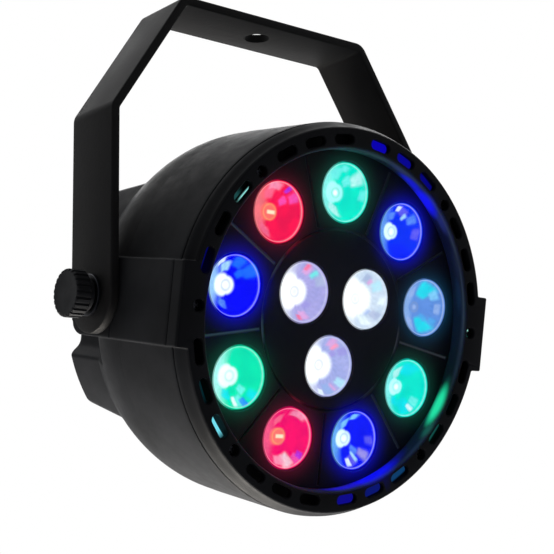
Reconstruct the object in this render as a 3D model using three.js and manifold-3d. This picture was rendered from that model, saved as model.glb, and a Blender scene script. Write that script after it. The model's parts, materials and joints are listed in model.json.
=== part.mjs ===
// A small stage light: a round lamp head with twelve collimating lenses, hung in a bent strip bracket.
// Millimetres, +Z up. The origin is the centre of the hanging hole, on the bracket's top face.
// The light shines along -Y. +X is to the right of someone who looks into the light.
import * as THREE from "three";
import { mergeVertices } from "three/addons/utils/BufferGeometryUtils.js";
import Module from "manifold-3d";

const wasm = await Module();
wasm.setup();

// Fits that many pieces share
const GAP = 0.3; // clearance between two pieces that touch
const OVERRUN = 4; // how far a cut runs past the face that it opens
const DEGREE = Math.PI / 180;

// Bracket
const STRIP_THICKNESS = 3.5;
const STRIP_WIDTH = 28;
const STRIP_BEND_RADIUS = 2.5;
const HEADROOM = 47; // from the top of the untilted ring to the top face
const SLANT_OVERLAP = 2.1; // how far a slant reaches below the top of the untilted ring
const SLANT_RUN = 32.1; // width of a slant, seen from the front
const HANGING_HOLE_RADIUS = 5.2;

// Clamp knobs, their studs and washers
const STUD_RADIUS = 2.9;
const STUD_IN_KNOB = 5; // length of the stud inside the knob and its neck
const STUD_IN_INSERT = 11;
const STUD_CHAMFER = 0.6;
const WASHER_RADIUS = 7.8;
const WASHER_THICKNESS = 1.2;
const KNOB_RADIUS = 8.9;
const KNOB_THICKNESS = 6.2;
const KNOB_NECK_RADIUS = 6.4;
const KNOB_NECK_LENGTH = 2.6;
const KNOB_RIBS = 24;
const KNOB_RIB_DEPTH = 0.55;
const KNOB_CHAMFER = 0.8;
const KNOB_RIB_SHARES = [0.55, 0.7, 0.85]; // end of the crest, start and end of the valley floor

// Head and its front ring
const HEAD_TILT = 10.2 * DEGREE; // front side down
const RIM_WIDTH = 10.1;
const RIM_FLARE = 1;
const RIM_DEPTH = 6;
const RIM_FACE_THICKNESS = 2.2;
const RIM_SKIRT = 1.6;
const RIM_OPENING_RADIUS = 61.9;
const RIM_OPENING_DRAFT = 0.5;
const SLOT_INSET = 5.4; // middle of the slots and screws, out from the opening
const RIM_SLOT_LENGTH = 9.6;
const RIM_SLOT_WIDTH = 3.8;
const SLOTS_IN_GROUP = 3;
const SLOT_STEP = 12 * DEGREE;
const SLOT_GROUP_ANGLES = [25.6, 70.2, 109.8, 154.4, 205.6, 250.2, 289.8, 334.4];
const RIM_SCREW_ANGLES = [0, 47, 133, 180, 227, 313];
const PAD_PROUD = 1.3; // outer flat of the ears and side pads, out from the drum
const PAD_HALF_HEIGHT = 15;
const PAD_REAR = 19; // pad end behind the tilt axis
const PAD_CORNER_RADIUS = 8;

// Screws
const SCREW_RADIUS = 1.45;
const SCREW_HEAD_RADIUS = 2.8;
const SCREW_HEAD_HEIGHT = 2;
const SCREW_LENGTH = 9.5;
const SCREW_CROSS_LENGTH = 3.2;
const SCREW_CROSS_WIDTH = 0.8;
const SCREW_CROSS_DEPTH = 1;
const SCREW_BOSS_RADIUS = 4;
const SCREW_SINK_CLEARANCE = 0.4;
const SCREW_SINK_DEPTH = 3.9;

// Lens plate and lenses
const LENS_RECESS = 6.9; // lens plate below the rim's front
const LENS_PLATE_LAP = 2.1; // how far the plate runs in behind the ring
const LENS_PLATE_THICKNESS = 2.4;
const LENS_RADIUS = 11.5;
const LENS_CIRCLE_INSET = 13.8; // outer lens circle, in from the opening
const INNER_LENS_CIRCLE = 17.7;
const OUTER_LENSES = 9;
const INNER_LENSES = 3;
const OUTER_LENS_START = 90 * DEGREE;
const INNER_LENS_START = 30 * DEGREE;
const LENS_SET_BACK = 0.2;
const LENS_FLANGE = 0.8;
const LENS_FLANGE_THICKNESS = 1.4;
const LENS_CONE_STEP = 0.7;
const LENS_CONE_LENGTH = 7.9;
const LENS_FOOT_WALL = 0.95;
const LENS_POCKET_SPACE = 0.7; // over the emitter's dome
const CENTRE_DISC_RADIUS = 34.1;
const GROOVE_WIDTH = 1.2;
const GROOVE_DEPTH = 0.6;
const PLATE_POST_OUTSET = 6.9; // out from the outer lens circle
const PLATE_POST_RADIUS = 2.8;
const PLATE_POSTS = 3;
const PLATE_POST_START = 110 * DEGREE;

// Light engine
const LED_BOARD_INSET = 4; // in from the edge of the lens plate
const LED_BOARD_THICKNESS = 1.6;
const EMITTER_SIDE = 3.9;
const EMITTER_BASE = 0.7;
const EMITTER_DOME_RADIUS = 1.8;
const SINK_BASE = 3;
const SINK_FIN_THICKNESS = 2;
const SINK_FIN_STEP = 12;
const SINK_FIN_HEIGHT = 13.6;
const SINK_FIN_INSET = 7.6; // the fins' ends, in from the drum's bore
const AXIS_BEHIND_FINS = 14.8;
const SINK_FINS_EACH_SIDE = 4;

// Front shell, the drum behind the rim
const DRUM_STEP = 1; // drum outside the ring's back edge
const DRUM_DRAFT = 1.1;
const DRUM_WALL = 2.3;
const PLATE_LEDGE_WIDTH = 2.8;
const PLATE_LEDGE_THICKNESS = 2.4;
const DRUM_BOSS_LENGTH = 9;

// Rear shell
const WALL = 2.4;
const SHOULDER_STEP = 0.3; // shoulder inside the drum's rear edge
const SHOULDER_STRAIGHT = 4.4;
const SHOULDER_ARC_RADIUS = 43.6;
const SHOULDER_ARC_LENGTH = 19.2;
const SPIGOT_LENGTH = 3.6;
const SPIGOT_WALL = 2.2;
const SPIGOT_ROOT = 2.2; // how far the spigot runs on inside the shell
const BACK_FROM_AXIS = 37.4;
const SHELF_HEIGHT = 25.4; // from the shoulder's top down to the box
const BOX_DRAFT = 5.2;
const BOX_EDGE_RADIUS = 2.5;
const CHANNEL_DEPTH = 13.1; // in from the shoulder
const CHANNEL_BESIDE_PAD = 4;
const CHANNEL_FLARE = 1.1; // widening of the channel for each unit outwards
const CHANNEL_FRONT = 8.5; // start of the channel behind the tilt axis
const BOARD_POST_INSET = 5; // in from the power board's edges
const BOARD_POST_RADIUS = 3;
const SEAM_TO_BOSS = 1.2; // from the seam to the bosses of the stud inserts

// Stud inserts and friction discs, in the side pads
const INSERT_RADIUS = 5;
const INSERT_LENGTH = 13;
const INSERT_BOSS_WALL = 2.6;
const FRICTION_DISC_RADIUS = 8.2;
const FRICTION_DISC_THICKNESS = 1.2;

// Rear panel
const PANEL_SIDE_MARGIN = 20.6; // in from the shoulder
const PANEL_TOP_MARGIN = 9; // in from the box's rear edge
const PANEL_THICKNESS = 1.5;
const PANEL_SET_BACK = 0.2;
const PANEL_CORNER_RADIUS = 3;
const PANEL_LIP = 6;
const PANEL_SCREW_MARGIN = 0.4; // from a screw's head to the panel's edge
const PANEL_POST_RADIUS = 2.2;
const CONTROL_BOARD_BEHIND = 8.6; // from the panel's inner face

// Display, buttons and microphone on the panel
const DISPLAY_Z = 17;
const WINDOW_HALF_WIDTH = 15;
const WINDOW_HALF_HEIGHT = 6;
const WINDOW_FLANGE = 1.6;
const WINDOW_FLANGE_THICKNESS = 1;
const MODULE_HALF_WIDTH = 15;
const MODULE_HALF_HEIGHT = 7;
const BUTTONS = 4;
const BUTTON_STEP = 9;
const BUTTON_Z = 2;
const BUTTON_RADIUS = 2.8;
const BUTTON_PROUD = 1.8;
const BUTTON_EDGE = 0.4;
const BUTTON_FLANGE_RADIUS = 3.7;
const BUTTON_FLANGE_THICKNESS = 1.1;
const BUTTON_STEM_RADIUS = 1.4;
const BUTTON_TRAVEL = 0.8;
const SWITCH_SIDE = 6;
const SWITCH_HEIGHT = 2.6;
const MICROPHONE_BESIDE_BOARD = 7;
const MICROPHONE_RADIUS = 3;
const MICROPHONE_CAN_RADIUS = 4.8;
const MICROPHONE_CAN_LENGTH = 6;

// Signal sockets and the mains inlet
const SOCKET_INSET = 20; // in from the panel's side edge
const SOCKET_Z = -13;
const SOCKET_BODY_RADIUS = 9.5;
const SOCKET_BORE_RADIUS = 7.8;
const SOCKET_FLANGE_HALF = 12;
const SOCKET_FLANGE_THICKNESS = 1.6;
const SOCKET_CORNER_RADIUS = 3;
const SOCKET_DEPTH = 19;
const SOCKET_FLOOR = 1.6;
const PIN_CIRCLE = 4.6;
const PIN_RADIUS = 1.2;
const PIN_LENGTH = 10.5;
const PIN_HOLE_RADIUS = 1.4;
const PINS = 3;
const INSULATOR_THICKNESS = 3;
const CONTACTS_SET_BACK = 1;
const LATCH_HALF_WIDTH = 3;
const LATCH_HEIGHT = 2.4;
const LATCH_PROUD = 1.5;
const LATCH_DEPTH = 7;
const LATCH_TRAVEL = 1.1;
const INLET_Z = -16;
const INLET_HALF_WIDTH = 13.5;
const INLET_HALF_HEIGHT = 9.7;
const INLET_WALL = 1.5;
const INLET_FLANGE = 1.4;
const INLET_FLANGE_THICKNESS = 1.8;
const INLET_DEPTH = 20;
const INLET_FLOOR = 3;
const INLET_CORNER_CUT = 4.5;
const BLADE_HALF_WIDTH = 1;
const BLADE_HALF_HEIGHT = 2;
const BLADE_LENGTH = 12;
const BLADE_SPREAD = 7;
const BLADE_RISE = 2;

// Boards and parts inside
const CONTROL_BOARD_INSET = 22; // in from the panel's side edge
const CONTROL_BOARD_LOW_Z = -1;
const CONTROL_BOARD_HIGH_Z = 26;
const BOARD_THICKNESS = 1.6;
const BOARD_HOLE_INSET = 3.5;
const POWER_BOARD_HALF_WIDTH = 30;
const POWER_BOARD_INSET = 15.6; // top edge, in from the shoulder
const COMPONENT_SPACE = 3.5; // between the fins and the transformer
const TRANSFORMER_X = -12;
const TRANSFORMER_Z = -18;
const TRANSFORMER_HALF_WIDTH = 13;
const TRANSFORMER_HALF_HEIGHT = 11;
const TRANSFORMER_DEPTH = 15;
const WINDING_SHARE = 0.5; // of the core's width and depth
const CAPACITOR_X = 14;
const CAPACITOR_Z = -22;
const CAPACITOR_RADIUS = 6.5;
const CAPACITOR_LENGTH = 15;
const CABLE_Z = 40;
const CABLE_RADIUS = 1.6;
const CABLE_HOLE_RADIUS = 3;

// Fineness of round surfaces, in steps for a full turn
const FINE_STEPS = 44;
const LENS_STEPS = 18;
const SMALL_STEPS = 10;
const ARC_STEPS = 4;

// Sizes that follow from others, from the opening outwards and then inwards
const RIM_RADIUS = RIM_OPENING_RADIUS + RIM_WIDTH;
const RIM_BACK_RADIUS = RIM_RADIUS + RIM_FLARE;
const RIM_SLOT_RADIUS = RIM_OPENING_RADIUS + SLOT_INSET;
const DRUM_FRONT_RADIUS = RIM_BACK_RADIUS + DRUM_STEP;
const DRUM_REAR_RADIUS = DRUM_FRONT_RADIUS - DRUM_DRAFT;
const DRUM_BORE_RADIUS = DRUM_REAR_RADIUS - DRUM_WALL;
const SHOULDER_RADIUS = DRUM_REAR_RADIUS - SHOULDER_STEP;
const EAR_FACE_X = DRUM_FRONT_RADIUS + PAD_PROUD;
const LEG_FACE_X = EAR_FACE_X + GAP + STRIP_THICKNESS; // outer face of a leg
const AXIS_DROP = RIM_RADIUS + HEADROOM; // tilt axis below the top face
const FIRST_BEND_DROP = HEADROOM + SLANT_OVERLAP; // outer corner between leg and slant, below the top face
const TOP_BAR_HALF = LEG_FACE_X - SLANT_RUN; // outer corner between slant and top bar
const LENS_PLATE_RADIUS = RIM_OPENING_RADIUS + LENS_PLATE_LAP;
const PLATE_LEDGE_RADIUS = LENS_PLATE_RADIUS - PLATE_LEDGE_WIDTH;
const LED_BOARD_RADIUS = LENS_PLATE_RADIUS - LED_BOARD_INSET;
const SINK_FIN_REACH = DRUM_BORE_RADIUS - SINK_FIN_INSET; // circle that the fins' ends stay inside
const OUTER_LENS_CIRCLE = RIM_OPENING_RADIUS - LENS_CIRCLE_INSET;
const PLATE_POST_CIRCLE = OUTER_LENS_CIRCLE + PLATE_POST_OUTSET;
const LENS_CONE_START_RADIUS = LENS_RADIUS - LENS_CONE_STEP;
const LENS_POCKET_RADIUS = EMITTER_SIDE / Math.SQRT2 + GAP;
const LENS_POCKET_DEPTH = EMITTER_BASE + EMITTER_DOME_RADIUS + LENS_POCKET_SPACE;
const LENS_CONE_END_RADIUS = LENS_POCKET_RADIUS + LENS_FOOT_WALL;
const SCREW_SINK_RADIUS = SCREW_HEAD_RADIUS + SCREW_SINK_CLEARANCE;
const BOX_HALF_HEIGHT_FRONT = SHOULDER_RADIUS - SHELF_HEIGHT;
const BOX_HALF_HEIGHT_BACK = BOX_HALF_HEIGHT_FRONT - BOX_DRAFT;
const CHANNEL_FLOOR_X = SHOULDER_RADIUS - CHANNEL_DEPTH;
const CHANNEL_HALF_HEIGHT = PAD_HALF_HEIGHT + CHANNEL_BESIDE_PAD;
const PANEL_HALF_WIDTH = SHOULDER_RADIUS - PANEL_SIDE_MARGIN;
const PANEL_HALF_HEIGHT = BOX_HALF_HEIGHT_BACK - PANEL_TOP_MARGIN;
const PANEL_SCREW_INSET = SCREW_HEAD_RADIUS + PANEL_SCREW_MARGIN;
const CONTROL_BOARD_HALF_WIDTH = PANEL_HALF_WIDTH - CONTROL_BOARD_INSET;
const MICROPHONE_X = CONTROL_BOARD_HALF_WIDTH + MICROPHONE_BESIDE_BOARD;
const SOCKET_X = PANEL_HALF_WIDTH - SOCKET_INSET;
const POWER_BOARD_HALF_HEIGHT = SHOULDER_RADIUS - POWER_BOARD_INSET;
const BOARD_POST_X = POWER_BOARD_HALF_WIDTH - BOARD_POST_INSET;
const BOARD_POST_Z = POWER_BOARD_HALF_HEIGHT - BOARD_POST_INSET;
const CABLE_X = SINK_FIN_STEP + SINK_FIN_STEP / 2;
const LIGHT_ENGINE_DEPTH =
  LENS_PLATE_THICKNESS + LENS_FLANGE_THICKNESS + LENS_CONE_LENGTH + LED_BOARD_THICKNESS + 3 * GAP;
const SINK_DEPTH = SINK_BASE + SINK_FIN_HEIGHT;

// Places along the light's axis, in the head's own frame
const RIM_Y = -(LENS_RECESS + LIGHT_ENGINE_DEPTH + SINK_DEPTH + AXIS_BEHIND_FINS);
const RIM_BACK_Y = RIM_Y + RIM_DEPTH;
const DRUM_FRONT_Y = RIM_BACK_Y + GAP;
const SHELL_Y = -(INSERT_RADIUS + GAP + INSERT_BOSS_WALL + SEAM_TO_BOSS);
const SEAM_Y = SHELL_Y - GAP;
const PLATE_Y = RIM_Y + LENS_RECESS;
const PLATE_BACK_Y = PLATE_Y + LENS_PLATE_THICKNESS;
const LEDGE_Y = PLATE_BACK_Y + GAP;
const LEDGE_BACK_Y = LEDGE_Y + PLATE_LEDGE_THICKNESS;
const LENS_FLANGE_Y = PLATE_BACK_Y + GAP;
const LENS_CONE_Y = LENS_FLANGE_Y + LENS_FLANGE_THICKNESS;
const LENS_END_Y = LENS_CONE_Y + LENS_CONE_LENGTH;
const LED_BOARD_Y = LENS_END_Y + GAP;
const LED_BOARD_BACK_Y = LED_BOARD_Y + LED_BOARD_THICKNESS;
const SINK_Y = LED_BOARD_BACK_Y + GAP;
const SHOULDER_ARC_Y = SHELL_Y + SHOULDER_STRAIGHT;
const SHELF_Y = SHOULDER_ARC_Y + SHOULDER_ARC_LENGTH;
const BOX_RADIUS = shoulderRadius(SHOULDER_ARC_LENGTH, SHOULDER_RADIUS, SHOULDER_ARC_RADIUS);
const PANEL_OUT_Y = BACK_FROM_AXIS - PANEL_SET_BACK;
const PANEL_IN_Y = PANEL_OUT_Y - PANEL_THICKNESS;
const LIP_Y = PANEL_IN_Y - GAP;
const CONTROL_BOARD_Y = PANEL_IN_Y - CONTROL_BOARD_BEHIND;
const FLANGE_SEAT_Y = PANEL_OUT_Y + GAP;
const POWER_BOARD_Y = COMPONENT_SPACE + TRANSFORMER_DEPTH + GAP - AXIS_BEHIND_FINS;
const POWER_BOARD_BACK_Y = POWER_BOARD_Y + BOARD_THICKNESS;
const APERTURE_RADIUS = LENS_RADIUS + GAP;

const MATERIALS = {
  powder_coat: finish(0x1c1c1d, 0.55, 0.4),
  shell_plastic: finish(0x1b1d22, 0.5),
  rim_plastic: finish(0x12131a, 0.45),
  knob_plastic: finish(0x232425, 0.5),
  acrylic: finish(0xe8f0f4, 0.05, 0, 0.4),
  steel: finish(0x9a9c9e, 0.35, 0.9),
  brass: finish(0xb08d4a, 0.35, 0.9),
  aluminium: finish(0xb9bcc0, 0.4, 0.9),
  rubber: finish(0x18181a, 0.9),
  board_white: finish(0xe6e8e6, 0.5),
  board_green: finish(0x1f5a37, 0.5),
  window: finish(0x3a0d10, 0.1),
  display: finish(0x202022, 0.4),
  socket_plastic: finish(0x151516, 0.4),
  pin_metal: finish(0xc8c4b0, 0.3, 0.9),
  copper_yellow: finish(0xc9a33a, 0.5),
  sleeve_blue: finish(0x24406b, 0.4),
  cable: finish(0x8f1d1d, 0.6),
};

function finish(colour, roughness, metalness = 0, opacity = 1) {
  return new THREE.MeshStandardMaterial({
    color: colour,
    roughness,
    metalness,
    opacity,
    transparent: opacity < 1,
  });
}

// A closed geometry as a solid; a solid stays as it is
function solid(geometry) {
  if (!geometry.isBufferGeometry) return geometry;
  geometry.deleteAttribute("normal");
  geometry.deleteAttribute("uv");
  const merged = mergeVertices(geometry);
  return new wasm.Manifold(
    new wasm.Mesh({
      numProp: 3,
      vertProperties: merged.attributes.position.array,
      triVerts: new Uint32Array(merged.index.array),
    }),
  );
}

function join(pieces) {
  return pieces.map(solid).reduce((whole, piece) => whole.add(piece));
}

function cut(body, tools) {
  return tools.map(solid).reduce((rest, tool) => rest.subtract(tool), solid(body));
}

function common(first, second) {
  return solid(first).intersect(solid(second));
}

function mesh(name, shape, material) {
  const made = solid(shape).getMesh();
  const geometry = new THREE.BufferGeometry();
  geometry.setAttribute("position", new THREE.BufferAttribute(made.vertProperties, made.numProp));
  geometry.setIndex(new THREE.BufferAttribute(made.triVerts, 1));
  geometry.computeVertexNormals();
  const item = new THREE.Mesh(geometry, material);
  item.name = name;
  return item;
}

// A closed profile of [radius, y] pairs turned round the Y axis
function turned(profile, steps) {
  const points = profile.map(([radius, y]) => new THREE.Vector2(radius, y));
  points.push(points[0].clone());
  return new THREE.LatheGeometry(points, steps);
}

// The same profile, whatever way round its points are written
function ring(profile, steps = FINE_STEPS) {
  const area = profile.reduce((sum, [radius, y], i) => {
    const [nextRadius, nextY] = profile[(i + 1) % profile.length];
    return sum + radius * nextY - nextRadius * y;
  }, 0);
  return turned(area > 0 ? profile : [...profile].reverse(), steps);
}

function cylinderY(radius, fromY, toY, steps = SMALL_STEPS, x = 0, z = 0) {
  const geometry = new THREE.CylinderGeometry(radius, radius, toY - fromY, steps);
  return geometry.translate(x, (fromY + toY) / 2, z);
}

// A round bar along X, with both ends given in any order
function cylinderX(radius, fromX, toX, steps = SMALL_STEPS) {
  const geometry = new THREE.CylinderGeometry(radius, radius, Math.abs(toX - fromX), steps);
  return geometry.rotateZ(Math.PI / 2).translate((fromX + toX) / 2, 0, 0);
}

// A block between two opposite corners
function block([x0, y0, z0], [x1, y1, z1]) {
  const geometry = new THREE.BoxGeometry(Math.abs(x1 - x0), Math.abs(y1 - y0), Math.abs(z1 - z0));
  return geometry.translate((x0 + x1) / 2, (y0 + y1) / 2, (z0 + z1) / 2);
}

function extruded(points, depth) {
  const shape = new THREE.Shape(points);
  return new THREE.ExtrudeGeometry(shape, { depth, bevelEnabled: false, curveSegments: ARC_STEPS });
}

// An outline of (x, z) points, thick along Y
function prismY(points, fromY, toY) {
  return extruded(points, toY - fromY).rotateX(Math.PI / 2).translate(0, toY, 0);
}

// An outline of (y, z) points, thick along X
function prismX(points, fromX, toX) {
  const turn = new THREE.Matrix4().makeBasis(
    new THREE.Vector3(0, 1, 0),
    new THREE.Vector3(0, 0, 1),
    new THREE.Vector3(1, 0, 0),
  );
  return extruded(points, toX - fromX).applyMatrix4(turn).translate(fromX, 0, 0);
}

function arc(x, y, radius, from, to, steps = ARC_STEPS) {
  return Array.from({ length: steps + 1 }, (_, i) => {
    const angle = from + ((to - from) * i) / steps;
    return new THREE.Vector2(x + radius * Math.cos(angle), y + radius * Math.sin(angle));
  });
}

// A rectangle with round corners, centred on (x, y)
function roundedRectangle(x, y, halfWidth, halfHeight, radius) {
  const corners = [
    [1, 1, 0],
    [-1, 1, Math.PI / 2],
    [-1, -1, Math.PI],
    [1, -1, -Math.PI / 2],
  ];
  return corners.flatMap(([sideX, sideY, start]) =>
    arc(
      x + sideX * (halfWidth - radius),
      y + sideY * (halfHeight - radius),
      radius,
      start,
      start + Math.PI / 2,
      ARC_STEPS / 2,
    ),
  );
}

// A point on a circle round the light's axis: angle 0 is +X, a quarter turn is +Z
function onCircle(radius, angle) {
  return [radius * Math.cos(angle), radius * Math.sin(angle)];
}

// A copy turned round the light's axis, from +X towards +Z
function roundAxis(geometry, angle) {
  return geometry.clone().rotateY(-angle);
}

// The same form on both sides of the light. Its upper and lower halves have to be alike.
function bothSides(geometry) {
  return [geometry, roundAxis(geometry, Math.PI)];
}

// The corners of an open line, each replaced by an arc of the same radius
function filleted(points, radius) {
  const line = [points[0]];
  for (let i = 1; i < points.length - 1; i++) {
    const before = points[i - 1].clone().sub(points[i]).normalize();
    const after = points[i + 1].clone().sub(points[i]).normalize();
    const half = Math.acos(before.dot(after)) / 2;
    const middle = before.clone().add(after).normalize();
    const centre = points[i].clone().addScaledVector(middle, radius / Math.sin(half));
    const start = points[i].clone().addScaledVector(before, radius / Math.tan(half)).sub(centre).angle();
    const end = points[i].clone().addScaledVector(after, radius / Math.tan(half)).sub(centre).angle();
    const sweep = Math.atan2(Math.sin(end - start), Math.cos(end - start));
    line.push(...arc(centre.x, centre.y, radius, start, start + sweep));
  }
  line.push(points[points.length - 1]);
  return line;
}

// Corners of the bracket's line, moved in from its outer face by a distance
function stripLine(inset) {
  const slant = new THREE.Vector2(LEG_FACE_X - TOP_BAR_HALF, FIRST_BEND_DROP).angle();
  const legCorner = inset * Math.tan((Math.PI / 2 - slant) / 2);
  const topCorner = inset * Math.tan(slant / 2);
  const right = [
    [LEG_FACE_X - inset, -AXIS_DROP - STRIP_WIDTH],
    [LEG_FACE_X - inset, -FIRST_BEND_DROP - legCorner],
    [TOP_BAR_HALF - topCorner, -inset],
  ];
  const left = right.map(([x, z]) => [-x, z]).reverse();
  return [...right, ...left].map(([x, z]) => new THREE.Vector2(x, z));
}

function bracket() {
  const outer = filleted(stripLine(0), STRIP_BEND_RADIUS + STRIP_THICKNESS);
  const inner = filleted(stripLine(STRIP_THICKNESS), STRIP_BEND_RADIUS);
  const strip = prismY([...outer, ...inner.reverse()], -STRIP_WIDTH / 2, STRIP_WIDTH / 2);
  const half = STRIP_WIDTH / 2;
  const side = [
    new THREE.Vector2(half, OVERRUN),
    new THREE.Vector2(-half, OVERRUN),
    ...arc(0, -AXIS_DROP, half, Math.PI, 2 * Math.PI, 3 * ARC_STEPS),
  ];
  const rounded = common(strip, prismX(side, -LEG_FACE_X - OVERRUN, LEG_FACE_X + OVERRUN));
  const studHole = cylinderX(STUD_RADIUS + GAP, -LEG_FACE_X - OVERRUN, LEG_FACE_X + OVERRUN);
  const hangingHole = cylinderY(HANGING_HOLE_RADIUS, -STRIP_THICKNESS - OVERRUN, OVERRUN, LENS_STEPS);
  return cut(rounded, [studHole.translate(0, 0, -AXIS_DROP), hangingHole.rotateX(Math.PI / 2)]);
}

// The pieces on the clamp axis stack outwards from the leg. They are drawn on the +X side.
const WASHER_X = LEG_FACE_X + GAP;
const KNOB_NECK_X = WASHER_X + WASHER_THICKNESS + GAP;
const KNOB_X = KNOB_NECK_X + KNOB_NECK_LENGTH;
const KNOB_FACE_X = KNOB_X + KNOB_THICKNESS;
const STUD_OUT_X = KNOB_NECK_X + STUD_IN_KNOB;
const DISC_X = EAR_FACE_X - FRICTION_DISC_THICKNESS;
const INSERT_OUT_X = DISC_X - 2 * GAP;
const INSERT_IN_X = INSERT_OUT_X - INSERT_LENGTH;
const STUD_IN_X = INSERT_OUT_X - STUD_IN_INSERT;
const STUD_HOLE = STUD_RADIUS + GAP;

function washer() {
  const disc = cylinderX(WASHER_RADIUS, WASHER_X, WASHER_X + WASHER_THICKNESS, LENS_STEPS);
  return cut(disc, [cylinderX(STUD_HOLE, WASHER_X - OVERRUN, WASHER_X + OVERRUN)]);
}

// Ribbed outline: each rib is a flat crest with a narrow valley beside it
function knobOutline() {
  const valley = KNOB_RADIUS - KNOB_RIB_DEPTH;
  const step = (2 * Math.PI) / KNOB_RIBS;
  const [crestShare, floorShare, floorEndShare] = KNOB_RIB_SHARES;
  const stops = [
    [0, KNOB_RADIUS],
    [crestShare, KNOB_RADIUS],
    [floorShare, valley],
    [floorEndShare, valley],
  ];
  return Array.from({ length: KNOB_RIBS }, (_, i) => i).flatMap((rib) =>
    stops.map(([share, radius]) => {
      const [x, y] = onCircle(radius, (rib + share) * step);
      return new THREE.Vector2(x, y);
    }),
  );
}

function knob() {
  const ribbed = prismX(knobOutline(), KNOB_X, KNOB_FACE_X);
  const envelope = [
    [0, KNOB_X],
    [KNOB_RADIUS - KNOB_CHAMFER, KNOB_X],
    [KNOB_RADIUS, KNOB_X + KNOB_CHAMFER],
    [KNOB_RADIUS, KNOB_FACE_X],
    [0, KNOB_FACE_X],
  ];
  const grip = common(ribbed, ring(envelope, 2 * KNOB_RIBS).rotateZ(-Math.PI / 2));
  const neck = cylinderX(KNOB_NECK_RADIUS, KNOB_NECK_X, KNOB_X + KNOB_CHAMFER, LENS_STEPS);
  const socket = cylinderX(STUD_HOLE, KNOB_NECK_X - OVERRUN, STUD_OUT_X + GAP);
  return cut(join([grip, neck]), [socket]);
}

function stud() {
  const profile = [
    [0, STUD_IN_X],
    [STUD_RADIUS - STUD_CHAMFER, STUD_IN_X],
    [STUD_RADIUS, STUD_IN_X + STUD_CHAMFER],
    [STUD_RADIUS, STUD_OUT_X],
    [0, STUD_OUT_X],
  ];
  return ring(profile, SMALL_STEPS).rotateZ(-Math.PI / 2);
}

function threadedInsert() {
  const tube = cylinderX(INSERT_RADIUS, INSERT_IN_X, INSERT_OUT_X, LENS_STEPS);
  return cut(tube, [cylinderX(STUD_HOLE, INSERT_IN_X - OVERRUN, INSERT_OUT_X + OVERRUN)]);
}

function frictionDisc() {
  const disc = cylinderX(FRICTION_DISC_RADIUS, DISC_X, EAR_FACE_X, LENS_STEPS);
  return cut(disc, [cylinderX(STUD_HOLE, DISC_X - OVERRUN, EAR_FACE_X + OVERRUN)]);
}

// A pan head screw that enters along +Y, with the underside of its head at a given y
function screw(seatY) {
  const head = cylinderY(SCREW_HEAD_RADIUS, seatY - SCREW_HEAD_HEIGHT, seatY);
  const shank = cylinderY(SCREW_RADIUS, seatY - SCREW_HEAD_HEIGHT / 2, seatY + SCREW_LENGTH);
  const faceY = seatY - SCREW_HEAD_HEIGHT;
  const long = SCREW_CROSS_LENGTH / 2;
  const narrow = SCREW_CROSS_WIDTH / 2;
  const bars = [
    [long, narrow],
    [narrow, long],
  ].map(([halfX, halfZ]) =>
    block([-halfX, faceY - OVERRUN, -halfZ], [halfX, faceY + SCREW_CROSS_DEPTH, halfZ]),
  );
  return cut(join([head, shank]), bars);
}

function rimScrewPlaces() {
  return RIM_SCREW_ANGLES.map((angle) => onCircle(RIM_SLOT_RADIUS, angle * DEGREE));
}

// The middle line of a rim slot runs along the slot circle's tangent
function rimSlots() {
  const end = (RIM_SLOT_LENGTH - RIM_SLOT_WIDTH) / 2;
  const radius = RIM_SLOT_WIDTH / 2;
  const outline = [
    ...arc(RIM_SLOT_RADIUS, end, radius, 0, Math.PI),
    ...arc(RIM_SLOT_RADIUS, -end, radius, Math.PI, 2 * Math.PI),
  ];
  const slot = prismY(outline, RIM_Y - OVERRUN, RIM_Y + RIM_FACE_THICKNESS + OVERRUN / 2);
  const middle = (SLOTS_IN_GROUP - 1) / 2;
  return SLOT_GROUP_ANGLES.flatMap((group) =>
    Array.from({ length: SLOTS_IN_GROUP }, (_, i) =>
      roundAxis(slot, group * DEGREE + (i - middle) * SLOT_STEP),
    ),
  );
}

function frontBezel() {
  const faceBackY = RIM_Y + RIM_FACE_THICKNESS;
  const skirtY = PLATE_Y - GAP;
  const section = ring([
    [RIM_RADIUS, RIM_Y],
    [RIM_BACK_RADIUS, RIM_BACK_Y],
    [RIM_BACK_RADIUS - RIM_SKIRT, RIM_BACK_Y],
    [RIM_RADIUS - RIM_SKIRT, faceBackY],
    [RIM_OPENING_RADIUS + RIM_SKIRT, faceBackY],
    [RIM_OPENING_RADIUS + RIM_SKIRT, skirtY],
    [RIM_OPENING_RADIUS - RIM_OPENING_DRAFT, skirtY],
    [RIM_OPENING_RADIUS, RIM_Y],
  ]);
  const earStart = RIM_RADIUS - RIM_SKIRT;
  const ears = [-1, 1].map((side) =>
    block(
      [side * earStart, RIM_Y, -PAD_HALF_HEIGHT],
      [side * EAR_FACE_X, RIM_BACK_Y, PAD_HALF_HEIGHT],
    ),
  );
  const places = rimScrewPlaces();
  const bosses = places.map(([x, z]) =>
    cylinderY(SCREW_BOSS_RADIUS, RIM_Y + RIM_FACE_THICKNESS / 2, RIM_BACK_Y, SMALL_STEPS, x, z),
  );
  const sinks = places.map(([x, z]) =>
    cylinderY(SCREW_SINK_RADIUS, RIM_Y - OVERRUN, RIM_Y + SCREW_SINK_DEPTH, SMALL_STEPS, x, z),
  );
  const holes = places.map(([x, z]) =>
    cylinderY(SCREW_RADIUS + GAP, RIM_Y - OVERRUN, RIM_BACK_Y + OVERRUN, SMALL_STEPS, x, z),
  );
  return cut(join([section, ...ears, ...bosses]), [...rimSlots(), ...sinks, ...holes]);
}

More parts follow.
